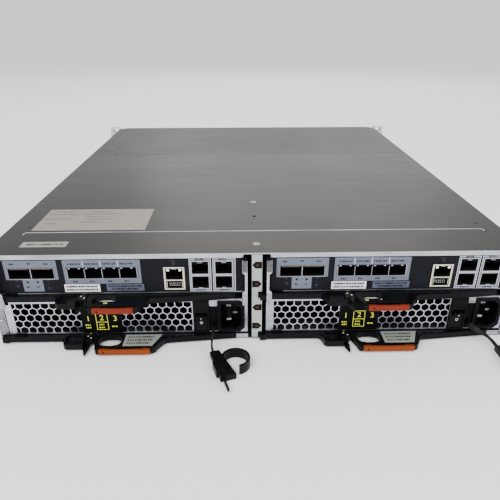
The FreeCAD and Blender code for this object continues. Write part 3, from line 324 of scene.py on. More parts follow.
def pushOut(work, faces, reach):
    # Draws flat faces out along a vector.
    moved = bmesh.ops.extrude_face_region(work, geom=faces)
    corners = [v for v in moved["geom"] if isinstance(v, bmesh.types.BMVert)]
    bmesh.ops.translate(work, vec=reach, verts=corners)


def plate(name, corners, reach, look, body):
    # A piece made of a flat outline pushed out along a vector.
    def build(work):
        pushOut(work, [work.faces.new([work.verts.new(corner) for corner in corners])], reach)
    return addPiece(name, meshFrom(build, name), look, body)


def frameMesh(name, side, solids, holes, out, thickness):
    # An upright plate made of rectangles less rectangles, each (left, low, right, high).
    columns = sorted({v for box in solids + holes for v in (box[0], box[2])})
    rows = sorted({v for box in solids + holes for v in (box[1], box[3])})

    def inside(boxes, x, z):
        return any(box[0] < x < box[2] and box[1] < z < box[3] for box in boxes)

    def build(work):
        corners = {}
        for i, (x0, x1) in enumerate(zip(columns, columns[1:])):
            for k, (z0, z1) in enumerate(zip(rows, rows[1:])):
                middle = ((x0 + x1) / 2, (z0 + z1) / 2)
                if not inside(solids, *middle) or inside(holes, *middle):
                    continue
                ring = []
                for x, z in ((x0, z0), (x1, z0), (x1, z1), (x0, z1)):
                    if (x, z) not in corners:
                        corners[(x, z)] = work.verts.new(place(side, x, out, z))
                    ring.append(corners[(x, z)])
                work.faces.new(ring)
        pushOut(work, work.faces[:], (0, thickness / 1000, 0))
        bmesh.ops.dissolve_limit(work, angle_limit=0.01, verts=work.verts, edges=work.edges)
    return meshFrom(build, name)


# Which edges are rounded, stay sharp or count as flat, in degrees, and how near corners merge, in metres.
edges = {"segments": 2, "roundAbove": 35, "sharpAbove": 50, "flatBelow": 1, "merge": 0.000002}


def softenEdges(piece, width):
    # rounds the piece's sharp edges by a width in millimetres, and keeps its flats shaded flat
    rounding = piece.modifiers.new("rounding", "BEVEL")
    rounding.width = width / 1000
    rounding.segments = edges["segments"]
    rounding.limit_method = "ANGLE"
    rounding.angle_limit = math.radians(edges["roundAbove"])
    mesh = applied(piece)
    mesh.polygons.foreach_set("use_smooth", [True] * len(mesh.polygons))
    mesh.set_sharp_from_angle(angle=math.radians(edges["sharpAbove"]))
    weighted = piece.modifiers.new("flats", "WEIGHTED_NORMAL")
    weighted.keep_sharp, weighted.weight = True, 100
    applied(piece)
    return piece


def softened(node, width, look):
    # A copy of a CAD node with its sharp edges rounded, in place of the node.
    source = nodes[node]
    work = bmesh.new()
    work.from_mesh(source.data)
    bmesh.ops.remove_doubles(work, verts=work.verts, dist=edges["merge"])
    flat = math.radians(edges["flatBelow"])
    bmesh.ops.dissolve_limit(work, angle_limit=flat, verts=work.verts, edges=work.edges)
    mesh = bpy.data.meshes.new(node + "_soft")
    work.to_mesh(mesh)
    work.free()
    piece = addPiece(node + "_soft", mesh, look, source["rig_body"], [node])
    return softenEdges(piece, width)


def repaint(piece, look, test):
    # Gives a second finish to the faces whose centre and normal pass the test.
    piece.data.materials.append(finish[look])
    index = len(piece.data.materials) - 1
    for face in piece.data.polygons:
        if test(face.center, face.normal):
            face.material_index = index


def dress(node, look):
    # Gives a CAD node its finish.
    nodes[node].data.materials.clear()
    nodes[node].data.materials.append(finish[look])


def geometryTree(name, inputs):
    # A new geometry tree with a mesh going in and out, named inputs of (kind, default) and a finish.
    tree = bpy.data.node_groups.new(name, "GeometryNodeTree")
    for way in ("INPUT", "OUTPUT"):
        tree.interface.new_socket("Geometry", in_out=way, socket_type="NodeSocketGeometry")
    for label, (kind, default) in inputs.items():
        socket = tree.interface.new_socket(label, in_out="INPUT", socket_type="NodeSocket" + kind)
        socket.default_value = default
    tree.interface.new_socket("Finish", in_out="INPUT", socket_type="NodeSocketMaterial")
    return tree, tree.nodes.new("NodeGroupInput"), tree.nodes.new("NodeGroupOutput")


def setOnPoints(tree, source, part, **more):
    # The part set on each point that comes in, as real geometry.
    copies = addNode(tree, "GeometryNodeInstanceOnPoints", {
        "Points": source.outputs["Geometry"], "Instance": part, **more})
    return addNode(tree, "GeometryNodeRealizeInstances", {"Geometry": copies.outputs[0]}).outputs[0]


def endTree(tree, source, result, geometry):
    painted = addNode(tree, "GeometryNodeSetMaterial", {
        "Geometry": geometry, "Material": source.outputs["Finish"]})
    tree.links.new(painted.outputs[0], result.inputs[0])
    return tree


def runTree(name, tree, points, values, look, body):
    # Runs a tree on a mesh of loose points, and keeps the plain mesh it makes as a piece.
    mesh = bpy.data.meshes.new(name)
    mesh.from_pydata([tuple(point) for point in points], [], [])
    piece = newObject(name, mesh)
    modifier = piece.modifiers.new("repeat", "NODES")
    modifier.node_group = tree
    sockets = {item.name: item.identifier for item in tree.interface.items_tree if item.in_out == "INPUT"}
    for label, amount in {**values, "Finish": finish[look]}.items():
        modifier[sockets[label]] = amount
    applied(piece)
    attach(piece, body)


def setStage():
    view = {"place": (-0.01266, -0.59668, 0.25311), "pitch": 0.44623, "yaw": 0.01970, "roll": -0.00153,
            "lens": 34.35}
    lens = bpy.data.cameras.new("view")
    lens.lens, lens.sensor_width = view["lens"], 36
    lens.clip_start, lens.clip_end = 0.02, 20
    camera = newObject("view", lens)
    camera.location = view["place"]
    turn = Matrix.Rotation(-view["yaw"], 4, "Z") @ Matrix.Rotation(math.pi / 2 - view["pitch"], 4, "X")
    camera.rotation_euler = (turn @ Matrix.Rotation(view["roll"], 4, "Z")).to_euler()
    bpy.context.scene.camera = camera

    floor = addFloor()
    lamps = {  # name: (place, aimed at, size, watts, colour)
        "key": ((-0.9, -1.3, 1.7), (0, 0, 0.05), 1.4, 34, (1, 0.98, 0.95)),
        "fill": ((1.3, -1.1, 0.9), (0, -0.2, 0.03), 1.2, 16, (0.95, 0.97, 1)),
        "front": ((0.0, -1.7, 0.25), (0, -0.25, 0.04), 1.0, 9, (1, 1, 1)),
        "back": ((0.2, 1.5, 1.3), (0, 0.1, 0.08), 1.6, 14, (1, 0.97, 0.92)),
    }
    for name, (spot, aim, size, watts, colour) in lamps.items():
        light = bpy.data.lights.new(name, "AREA")
        light.shape, light.size, light.energy, light.color = "SQUARE", size, watts, colour
        lamp = newObject(name, light)
        lamp.location = spot
        lamp.rotation_euler = (Vector(aim) - Vector(spot)).to_track_quat("-Z", "Y").to_euler()
    world = bpy.data.worlds.new("studio")
    world.use_nodes = True
    back = world.node_tree.nodes["Background"]
    back.inputs["Color"].default_value = linear("#fbfbfc")
    back.inputs["Strength"].default_value = 1.15
    bpy.context.scene.world = world


def addFloor():
    mesh, reach = bpy.data.meshes.new("floor"), 6.0
    mesh.from_pydata([(-reach, -reach, 0), (reach, -reach, 0), (reach, reach, 0), (-reach, reach, 0)], [],
                     [(0, 1, 2, 3)])
    # matt white seamless paper, bright enough to read as white
    material, tree, shader, coords = startFinish("White seamless paper", Roughness=0.9)
    fibre = addNode(tree, "ShaderNodeTexNoise", {"Vector": coords, "Scale": 300.0})
    joinPatterns(tree, shader, fibre.outputs[0], (linear("#fafafa"), linear("#ffffff")))
    mesh.materials.append(material)
    return newObject("floor", mesh)


setStage()
print("stage set")


# Each retainer strap: its route as across, out and up in millimetres, its width where it hangs and in the
# clip, and which way its thin side looks at either end.
ties = {
    "a": {"route": [(73.9, -4.1, 14.6), (73.2, -9.5, 13.0), (72.4, -16.0, 7.6), (73.2, -23.0, 2.9),
                    (87.8, -69.0, 2.9)],
          "width": 4.2, "endWidth": 3.0, "thickness": 1.7, "thinAtStart": (1, 0, 0),
          "thinAtEnd": (1, 0.3, 0)},
    "b": {"route": [(73.9, -4.1, 14.6), (78.5, -8.5, 12.0), (87.5, -9.8, 7.6), (92.4, -13.5, 3.6),
                    (93.0, -20.0, 2.9), (93.0, -68.0, 2.9)],
          "width": 5.2, "endWidth": 3.2, "thickness": 1.2, "thinAtStart": (0.2, -0.85, 0.5),
          "thinAtEnd": (0, 0, 1)},
}
# Every strap's section in halves of its width and thickness, and how early it has turned and narrowed.
tieShape = {"section": ((1, 0.4), (0.85, 1), (-0.85, 1), (-1, 0.4),
                        (-1, -0.4), (-0.85, -1), (0.85, -1), (1, -0.4)),
            "turn": 1.8, "narrow": 1.6, "clipEdge": 0.4}


def smoothLine(name, route, side):
    curve = bpy.data.curves.new(name, "CURVE")
    curve.dimensions, curve.resolution_u = "3D", 16
    line = curve.splines.new("NURBS")
    line.points.add(len(route) - 1)
    for point, spot in zip(line.points, route):
        point.co = (*place(side, *spot), 1)
    line.order_u = 3
    line.use_endpoint_u = True
    return [v.co.copy() for v in curveMesh(curve).vertices]


def addTie(side):
    # a flat strap swept along the spline's own points, turning from one end's lie to the other's
    tie, power = ties[side], "power_" + side
    points = smoothLine(power + "_tie", tie["route"], side)
    last = len(points) - 1
    starts, ends = Vector(tie["thinAtStart"]), Vector(tie["thinAtEnd"])

    def build(work):
        rings = []
        for i, point in enumerate(points):
            along = (points[min(i + 1, last)] - points[max(i - 1, 0)]).normalized()
            thin = starts.lerp(ends, min(1, i / last * tieShape["turn"]))
            thin = (thin - along * thin.dot(along)).normalized()
            wide = along.cross(thin)
            narrowed = min(1, i / last * tieShape["narrow"])
            width = tie["width"] + (tie["endWidth"] - tie["width"]) * narrowed
            w, t = wide * width / 2000, thin * tie["thickness"] / 2000
            rings.append([work.verts.new(point + w * a + t * b) for a, b in tieShape["section"]])
        for before, after in zip(rings, rings[1:]):
            joinRings(work, before, after)
        work.faces.new(rings[0])
        work.faces.new(rings[-1])
    piece = addPiece(power + "_tie", meshFrom(build, power + "_tie"), "tie", power,
                     [power + "_retainer"])
    clip = softened(power + "_clip", tieShape["clipEdge"], "clip")


for side in allSides:
    addTie(side)
print("cord ties laid")


def dressChassis():
    for node in ("chassis_tub", "module_shelf", "drive_cage"):
        dress(node, "galvanised")
    dress("midplane_board", "board")
    dress("center_wall", "stripSheet")
    cover = softened("rear_cover", 0.35, "coverSheet")
    # the cover's rear flange and bent top edge get a painted highlight in bright steel
    repaint(cover, "brightSteelAndHighlight", lambda c, n: c.y < rear + 0.0015 and (n.z < 0.9 or c.z > 0.08))
    # the shelf's rear part, seen through the gaps beside the centre strip, gets painted shade
    repaint(nodes["module_shelf"], "dark", lambda c, n: c.y < rear + 0.0182)
    softened("front_deck", 0.3, "deckSheet")
    for node in ("ear_left", "ear_right"):
        softened(node, 0.8, "ear")


def rivetTree():
    # Domed heads on points: each is a ball of a named radius, flattened to a named rise.
    tree, source, result = geometryTree("rivets", {"Radius": ("Float", 0.002), "Rise": ("Float", 0.0004)})
    ball = addNode(tree, "GeometryNodeMeshUVSphere", {
        "Segments": 20, "Rings": 10, "Radius": source.outputs["Radius"]})
    squeeze = addNode(tree, "ShaderNodeMath", {0: source.outputs["Rise"], 1: source.outputs["Radius"]},
                      operation="DIVIDE")
    size = addNode(tree, "ShaderNodeCombineXYZ", {"X": 1.0, "Y": 1.0, "Z": squeeze.outputs[0]})
    flat = addNode(tree, "GeometryNodeTransform", {
        "Geometry": ball.outputs["Mesh"], "Scale": size.outputs[0]})
    smooth = addNode(tree, "GeometryNodeSetShadeSmooth", {0: setOnPoints(tree, source, flat.outputs[0])})
    return endTree(tree, source, result, smooth.outputs[0])


def addRivets():
    # dimples in the cover as low domes in painted shade, and rivets in the rear flanges
    dimples = [(-194, 418.5), (-194, 364), (-190, 326), (202, 458), (202, 420), (210, 388), (202.5, 365),
               (190, 327), (205, 251), (206, 60), (-206, 60)]
    tree = rivetTree()
    runTree("cover_dimples", tree, [onCover(x, y, 0.02) for x, y in dimples],
            {"Radius": 0.0021, "Rise": 0.00025}, "holeShade", "chassis")
    across, heights = 0.2186, (0.0225, 0.0655)
    flange = [(sign * across, rear - 0.00002, z) for sign in (-1, 1) for z in heights]
    runTree("flange_rivets", tree, flange, {"Radius": 0.0021, "Rise": 0.0012}, "screw", "chassis")


def addBead():
    # The pressed bead across the rear cover, drawn as one rounded rib with hooked ends, all in bright steel
    # as a painted highlight.
    bead = {"end": 205.2, "out": 45.8, "hook": 5.5, "corner": 1.5, "radius": 0.55, "lift": -0.25}
    end, out, corner = bead["end"], bead["out"], bead["corner"]
    half = [(end, out - bead["hook"]), (end, out - corner), (end - corner, out)]
    route = [(-x, y) for x, y in half] + half[::-1]
    curve = bpy.data.curves.new("cover_bead", "CURVE")
    curve.dimensions, curve.bevel_depth, curve.bevel_resolution = "3D", bead["radius"] / 1000, 3
    curve.use_fill_caps = True
    line = curve.splines.new("POLY")
    line.points.add(len(route) - 1)
    for point, (x, y) in zip(line.points, route):
        point.co = (*onCover(x, y, bead["lift"]), 1)
    addPiece("cover_bead", curveMesh(curve), "brightSteelAndHighlight", "chassis")


def addCoverScrews():
    # Two countersunk screws, each with a cross recess.
    screw = {"head": 3.3, "chamfer": 0.3, "recess": 1.5, "wing": 0.45, "betweenWings": 0.85, "taper": 0.6,
             "underside": 0.55, "rim": 0.1, "deep": 0.5, "rows": (18.5, 122.5), "sides": 48}
    cross = []
    for x, y in circle(1, screw["sides"]):
        radius = min(screw["recess"], screw["wing"] / max(min(abs(x), abs(y)), 0.001))
        if max(abs(x), abs(y)) < screw["betweenWings"]:
            radius = screw["wing"] * 1.5
        cross.append((radius * x, radius * y))
    head = circle(screw["head"], screw["sides"])
    face = circle(screw["head"] - screw["chamfer"], screw["sides"])
    floor = [(x * screw["taper"], y * screw["taper"]) for x, y in cross]
    levels = ((head, screw["underside"]), (head, screw["rim"]), (face, 0), (cross, 0), (floor, screw["deep"]))

    def build(work):
        for out in screw["rows"]:
            middle = onCover(0, out, -0.1)
            rings = [[work.verts.new(middle + Vector((x, y, -drop)) / 1000) for x, y in outline]
                     for outline, drop in levels]
            for first, second in zip(rings, rings[1:]):
                joinRings(work, first, second)
            work.faces.new(rings[-1])
            work.faces.new(list(reversed(rings[0])))
    heads = addPiece("cover_screw_heads", meshFrom(build, "cover_screw_heads"), "dullScrew", "chassis",
                     ["cover_screws"])
    # only the floor of the recess gets painted shade
    repaint(heads, "holeShade", lambda c, n: abs(c.x) < 0.0015 and n.z > 0.9 and c.z < coverTop - 0.0004)


def addCoverLabels():
    # Two bare labels on the cover: left, low, right and high as seen from above.
    labels = {"cover_label": ("topFilm", (-201.5, 50.0, -99.5, 103.0)),
              "cover_small_label": ("leverFilm", (-198.0, 15.0, -159.5, 25.5))}
    for name, (look, (left, low, right, high)) in labels.items():
        outline = ((left, low), (right, low), (right, high), (left, high))
        plate(name, [onCover(x, y, 0.03) for x, y in outline], (0, 0, 0.00012), look, "chassis")


def addStripMarks():
    # Arrow-shaped stickers on the centre strip, a plain shape that points to the module beside it.
    marks = {"left": (72.9, 32.2), "right": (55.2, 13.4), "half": 3.1, "border": 1.75, "tip": 1.3,
             "neck": 0.4}
    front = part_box("center_wall")[0][1]
    layers = ((marks["half"], -0.08, "blackFilm"), (marks["half"] - marks["border"], -0.15, "brownPrint"))
    for facing, sense in (("left", -1), ("right", 1)):
        for level, z in enumerate(marks[facing], start=1):
            for layer, (h, out, look) in enumerate(layers):
                tip, neck = marks["tip"] * h * sense, marks["neck"] * h * sense
                shape = [(-tip, z - h), (neck, z - h), (tip, z), (neck, z + h), (-tip, z + h)]
                corners = [(x / 1000, front + out / 1000, up / 1000) for x, up in shape]
                plate(f"strip_mark_{facing}_{level}_{layer}", corners, (0, 0.00006, 0), look, "chassis")


dressChassis()
addRivets()
addBead()
addCoverScrews()
addCoverLabels()
addStripMarks()
print("chassis dressed")


def barTree():
    # small bars on points, each scaled across by a random share from the least up to one
    tree, source, result = geometryTree("small_bars", {
        "Bar": ("Vector", (0.001, 0.00005, 0.0006)), "Least": ("Float", 0.35), "Seed": ("Int", 3)})
    bar = addNode(tree, "GeometryNodeMeshCube", {"Size": source.outputs["Bar"]})
    length = addNode(tree, "FunctionNodeRandomValue", {
        2: source.outputs["Least"], 3: 1.0, "Seed": source.outputs["Seed"]}, data_type="FLOAT")
    size = addNode(tree, "ShaderNodeCombineXYZ", {"X": length.outputs[1], "Y": 1.0, "Z": 1.0})
    return endTree(tree, source, result, setOnPoints(tree, source, bar.outputs[0], Scale=size.outputs[0]))


smallBars = barTree()


def addBars(name, spots, size, look, body, least=1.0, seed=1):
    # one mesh of bars, each of a size in millimetres across, in and up
    values = {"Bar": tuple(v / 1000 for v in size), "Least": least, "Seed": seed}
    runTree(name, smallBars, spots, values, look, body)


def alongRows(rows, step):
    # Even places along rows of (from, to, level), each with its row's level.
    return [(start + (i + 0.5) * step, level)
            for start, end, level in rows for i in range(max(1, int((end - start) / step)))]


def rowSpots(side, rows, step, out):
    return [place(side, across, out, up) for across, up in alongRows(rows, step)]


printShape = {"sides": 24, "dotThickness": 0.00005, "numeralDepth": 0.00003}  # metres


def numeral(name, text, size, middle, look, body):
    # A plain numeral that stands upright and faces the rear.
    curve = bpy.data.curves.new(name, "FONT")
    curve.body, curve.size, curve.extrude = text, size / 1000, printShape["numeralDepth"]
    curve.align_x, curve.align_y = "CENTER", "CENTER"
    mesh = curveMesh(curve)
    mesh.transform(Matrix.Translation(middle) @ Matrix.Rotation(math.pi / 2, 4, "X"))
    addPiece(name, mesh, look, body)


def disc(name, side, across, out, up, radius, look, body, slot, hole=0.0):
    # A printed dot or ring on an upright face.
    def ringAt(work, size):
        outline = circle(size, printShape["sides"])
        return [work.verts.new(place(side, across + x, out, up + z)) for x, z in outline]

    def build(work):
        outer = ringAt(work, radius)
        if hole:
            joinRings(work, outer, ringAt(work, hole))
        else:
            work.faces.new(outer)
    piece = addPiece(name, meshFrom(build, name), look, body)
    thick = piece.modifiers.new("thickness", "SOLIDIFY")
    thick.thickness = printShape["dotThickness"]
    applied(piece)


# Rows of unreadable print on the cover's labels: from, to, distance from the rear face.
coverPrint = {
    "cover_label": {"tall": 2.0, "ink": "faintPrint", "seed": 41, "rows": [
        (-196, -167, 96.5), (-198, -170, 89), (-199, -172, 77.5), (-196, -184, 66), (-161, -139, 97),
        (-168, -128, 90.5), (-161, -135, 84), (-160, -133, 77), (-163, -138, 69.5)]},
    "cover_small_label": {"tall": 3.2, "ink": "print", "seed": 42, "rows": [(-194.5, -163, 20.2)]},
}


def addCoverPrint():
    step, lift = 2.1, 0.18
    for name, spec in coverPrint.items():
        spots = [onCover(across, out, lift) for across, out in alongRows(spec["rows"], step)]
        addBars(name + "_print", spots, (1.7, spec["tall"], 0.05), spec["ink"], "chassis",
                0.4, spec["seed"])


addCoverPrint()


# Which finish and slot each node takes before the smaller pieces go on.
plainNodes = {
    "controller": {"tray": ("galvanised", "galvanised_steel"), "board": ("board", "board_green"),
                   "sas_cage": ("portShell", "port_metal"), "sfp_cage": ("portShell", "port_metal"),
                   "jacks": ("jack", "cream_plastic"), "face": ("face", "dark_face")},
    "power": {"case": ("galvanised", "galvanised_steel"), "face": ("grille", "grille_steel"),
              "fan": ("fan", "fan_plastic")},
}
softNodes = {  # node ending: (rounding in millimetres, finish, slot)
    "controller": {"lever": (0.5, "lever", "black_plastic"), "latch": (0.35, "redLatch", "red_plastic"),
                   "strap": (0.15, "strap", "strap_nylon")},
    "power": {"lever": (0.5, "lever", "black_plastic"), "latch": (0.35, "orangeLatch", "orange_plastic"),
              "strap": (0.15, "strap", "strap_nylon"), "entry": (0.3, "fitting", "fitting_plastic"),
              "rocker": (0.3, "rocker", "rocker_plastic")},
}


driveCount = 12


def dressModules():
    for side in allSides:
        for unit, endings in plainNodes.items():
            for ending, (look, slot) in endings.items():
                dress(f"{unit}_{side}_{ending}", look)
        for unit, endings in softNodes.items():
            for ending, (width, look, slot) in endings.items():
                softened(f"{unit}_{side}_{ending}", width, look)
    for number in range(1, driveCount + 1):
        dress(f"drive_{number}", "carrier")


dressModules()
print("modules dressed")


def boxIn(node, side):
    # a CAD node's box in the module's own millimetres: left, low, right, high
    low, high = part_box(node)
    middle = chassis["moduleCentre"][side]
    return ((low[0] - middle) * 1000, low[2] * 1000, (high[0] - middle) * 1000, high[2] * 1000)


def film(name, side, box, look, body, out=-0.1, holes=(), thickness=0.07):
    mesh = frameMesh(name, side, [box] if isinstance(box, tuple) else box, list(holes), out, thickness)
    return addPiece(name, mesh, look, body)


# The printed films on a controller's face, in the module's millimetres.
controllerPrint = {
    "sasPanel": [(-95.15, 61.5, -52.25, 79.2), (-82.25, 50.4, -65.65, 61.5)],
    "sasDots": [(-78.15, 59.2), (-69.95, 59.2)],
    "sfpPanel": (-47.25, 57.2, 15.75, 79.2), "sfpDividers": [-30.9, -16.65, -2.4],
    "lanPanels": [(55.55, 49.2, 73.35, 79.3), (74.85, 49.2, 93.45, 79.3)], "lanBorder": 0.35,
    "whiteLabel": (-48.75, 49.6, -19.35, 56.7), "blueLabel": (-13.95, 50.1, 17.15, 56.4),
    "rings": [(-86.7, 55.6), (-61.3, 53.4), (42.9, 75.3)],
}
# The print on them: rows of (from, to, height), step, bar, ink, distance out, least share and seed.
controllerRows = {
    "small_print": (
        [(-90.5, -85.5, 76.0), (-75.5, -71.5, 76.4), (-62.5, -57.5, 76.0), (-79.8, -76.5, 54.6),
         (-71.6, -68.3, 54.6), (-43.5, -32.5, 75.6), (-29.5, -18.3, 75.6), (-15.2, -4.0, 75.6),
         (-1.0, 10.2, 75.6), (-41.0, -36.0, 59.4), (-27.0, -22.0, 59.4), (-12.5, -7.5, 59.4),
         (1.5, 6.5, 59.4), (60.5, 68.5, 78.55), (79.5, 87.5, 78.55), (60.5, 69.5, 50.1),
         (79.5, 88.5, 50.1)], 1.35, (1.1, 0.05, 1.5), "print", -0.13, 0.45, 5),
    "white_label_print": ([(-47.3, -20.8, 54.7), (-47.3, -20.8, 51.7)], 1.3, (1.2, 0.05, 1.9), "print", -0.13,
                          0.6, 11),
    "blue_label_print": ([(-12.4, 15.6, 54.6), (-10.0, 12.0, 52.0)], 1.45, (1.2, 0.05, 1.5), "print", -0.13,
                         0.45, 17),
    "white_marks": ([(-88.2, -85.2, 60.3), (-62.6, -60.0, 60.3), (-62.4, -60.4, 56.8), (40.6, 45.2, 77.6)],
                    1.2, (0.8, 0.05, 0.9), "dimPrint", -0.1, 0.5, 23),
}


def addControllerPrint(side):
    body, slot, ink = "controller_" + side, "dark_face", controllerPrint
    for cage, floor in (("sas", 62.0), ("sfp", 61.9)):
        left, low, right, high = boxIn(f"{body}_{cage}_cage", side)
        film(f"{body}_{cage}_film", side, ink[cage + "Panel"], "overlay", body,
             holes=[(left - 0.2, floor, right + 0.2, high + 0.2)])
    for k, (left, low, right, high) in enumerate(ink["lanPanels"], start=1):
        # each pair of jacks shows through a window in its own film, with a white line round the film
        window, line = (left + 1.0, 51.0, left + 16.8, 77.7), ink["lanBorder"]
        film(f"{body}_lan_film_{k}", side, (left, low, right, high), "overlay", body, holes=[window])
        film(f"{body}_lan_border_{k}", side, (left, low, right, high), "whitePrint", body, -0.14,
             [(left + line, low + line, right - line, high - line)], 0.03)
    film(body + "_white_label", side, ink["whiteLabel"], "whiteFilm", body)
    film(body + "_blue_label", side, ink["blueLabel"], "blueFilm", body)
    for k, x in enumerate(ink["sfpDividers"], start=1):
        film(f"{body}_divider_{k}", side, (x - 0.2, 72.9, x + 0.2, 79.0), "whitePrint", body, -0.13)
    for k, (x, z) in enumerate(ink["sasDots"], start=1):
        disc(f"{body}_sas_dot_{k}", side, x, -0.13, z, 1.0, "print", body, slot)
    for k, (x, z) in enumerate(ink["rings"], start=1):
        disc(f"{body}_ring_{k}", side, x, -0.1, z, 1.1, "dimPrint", body, slot, hole=0.7)
    for name, (rows, step, bar, look, out, least, seed) in controllerRows.items():
        addBars(f"{body}_{name}", rowSpots(side, rows, step, out), bar, look, body, least, seed)


# The network and console jacks: middle of each, floor of its hole, whether its contacts lie on the floor.
jackSpots = [(64.4, 66.6, True), (83.8, 66.6, True), (64.4, 54.7, False), (83.8, 54.7, False),
             (42.9, 61.5, True)]
jackParts = {"contacts": 8, "pitch": 1.02, "contact": (0.45, 5.0, 0.22), "deep": 4.2, "height": 7.0}


# Painted shade round each port's hole, as black sheets made of boxes less the hole itself: left, low, right,
# high in millimetres.
portMasks = {
    "sas_mask": {"dark": (-92.3, 62.5, -55.5, 71.9), "out": -0.37, "slot": "port_metal",
                 "holes": [(-91.9, 63.4, -75.6, 71.6), (-72.5, 63.4, -56.2, 71.6)]},
    "sfp_mask": {"dark": (-44.9, 71.25, 11.9, 72.2), "out": -0.37, "slot": "port_metal", "holes": []},
    "console_mask": {"dark": (35.8, 60.6, 50.0, 71.0), "out": -0.87, "slot": "cream_plastic",
                     "holes": [(36.9, 61.5, 48.9, 68.5), (39.8, 68.4, 46.0, 69.7), (41.1, 69.6, 44.7, 70.9)]},
    "usb_mask": {"dark": (35.8, 52.4, 50.0, 59.5), "out": -0.87, "slot": "cream_plastic",
                 "holes": [(36.4, 53.2, 49.4, 58.8)]},
}
for number, shift in ((1, 0.0), (2, 19.4)):
    latch, notch = (61.3 + shift, 67.5 + shift), (62.6 + shift, 66.2 + shift)
    for row, dark, floor, latchLow, notchLow in (("upper", (65.5, 76.7), 66.6, 73.5, 74.7),
                                                 ("lower", (52.0, 63.2), 54.7, 53.5, 52.3)):
        portMasks[f"{row}_jack_mask_{number}"] = {
            "dark": (57.5 + shift, dark[0], 71.3 + shift, dark[1]), "out": -0.37, "slot": "cream_plastic",
            "holes": [(58.4 + shift, floor, 70.4 + shift, floor + 7.0),
                      (latch[0], latchLow, latch[1], latchLow + 1.3),
                      (notch[0], notchLow, notch[1], notchLow + 1.3)]}


def addPorts(side):
    body, middle = "controller_" + side, chassis["moduleCentre"][side]
    jacks = nodes[body + "_jacks"]
    # the insides of the jacks' holes get painted shade
    repaint(jacks, "dark", lambda c, n: c.y > rear + 0.0006 and n.y < 0.5)
    repaint(jacks, "jackShell", lambda c, n: c.x > middle + 0.0545 and c.y <= rear + 0.0006)
    spots = []
    for x, floor, below in jackSpots:
        up = floor + 0.15 if below else floor + jackParts["height"] - 0.15
        for i in range(jackParts["contacts"]):
            across = x + (i - (jackParts["contacts"] - 1) / 2) * jackParts["pitch"]
            spots.append(place(side, across, jackParts["deep"], up))
    addBars(body + "_jack_contacts", spots, jackParts["contact"], "contact", body)
    # two light windows beside the console jack's latch notch
    for k, x in enumerate((37.9, 47.9), start=1):
        disc(f"{body}_console_light_{k}", side, x, -0.97, 69.7, 1.2, "whiteFilm", body, "cream_plastic")
    # black sheets of painted shade round the ports' holes
    for name, spec in portMasks.items():
        film(f"{body}_{name}", side, spec["dark"], "dark", body, spec["out"], spec["holes"],
             0.05)
    film(body + "_sas_divider", side, (-74.3, 62.5, -73.8, 71.9), "brightSteelAndHighlight", body, -0.42,
         thickness=0.04)
    addBars(body + "_usb_contacts", rowSpots(side, [(38.0, 47.8, 56.5), (38.0, 47.8, 54.6)], 1.6, 1.0),
            (0.8, 0.6, 0.5), "pin", body, 0.6, 4)
    # the inside of the storage port cages gets painted shade
    for cage in ("sas_cage", "sfp_cage"):
        repaint(nodes[f"{body}_{cage}"], "dark",
                lambda c, n: c.y > rear + 0.0015 and abs(c.z - 0.067) < 0.0051)
    # sprung grounding fingers above each storage port, and the contact rows deep inside
    fingers = [place(side, left + inset, -0.45, 71.7)
               for left in (-45.15, -30.9, -16.65, -2.4) for inset in (2.6, 10.9)]
    addBars(body + "_sfp_tabs", fingers, (1.5, 0.2, 0.8), "brightSteelAndHighlight", body)
    bars = rowSpots(side, [(-90.0, -77.0, 66.2), (-70.6, -57.6, 66.2)], 1.0, 9.0)
    addBars(body + "_sas_contacts", bars, (0.45, 4.0, 0.4), "dimContact", body)
    lips = [place(side, x, -0.4, 71.35) for x in (-83.4, -64.8)]
    addBars(body + "_sas_lips", lips, (15.0, 0.06, 0.35), "pinkEdge", body)


# A bracket's edges across, the heights of its parts and where its rivets and foam stand, in millimetres.
bracket = {"edges": (99.3, 103.1), "gasket": (69.2, 79.0), "foot": (38.0, 48.6), "rounding": 0.3,
           "rivets": (102.3, (66.6, 62.9, 58.2, 54.1)), "foam": (100.6, (66.2, 64.0, 60.5, 57.0, 53.2))}


def addBrackets(side):
    # a spring leaf with a cloth gasket at its head stands at either edge of a controller
    body, slot, middle = "controller_" + side, "dark_face", chassis["moduleCentre"][side]
    repaint(nodes[body + "_face"], "brightSteelAndHighlight",
            lambda c, n: c.y < rear - 0.0002 and abs(c.x - middle) > 0.0988)
    for sense, name in ((-1, "left"), (1, "right")):
        left, right = sorted(sense * edge for edge in bracket["edges"])
        (padLow, padHigh), (footLow, footHigh) = bracket["gasket"], bracket["foot"]
        pad = film(f"{body}_gasket_{name}", side, (left, padLow, right, padHigh), "gasket", body, -5.95,
                   thickness=0.75)
        softenEdges(pad, bracket["rounding"])
        across, heights = bracket["rivets"]
        spots = [place(side, sense * across, -5.28, z) for z in heights]
        addBars(f"{body}_leaf_rivets_{name}", spots, (0.9, 0.2, 0.9), "screw", body)
        across, heights = bracket["foam"]
        foam = [place(side, sense * across, -4.6, z) for z in heights]
        addBars(f"{body}_leaf_foam_{name}", foam, (1.5, 0.9, 1.3), "fitting", body, 0.5, 8)
        film(f"{body}_leaf_foot_{name}", side, (left, footLow, right, footHigh), "footFilm", body,
             -5.32, thickness=0.1)


for side in allSides:
    addControllerPrint(side)
    addPorts(side)
    addBrackets(side)
print("controllers finished")


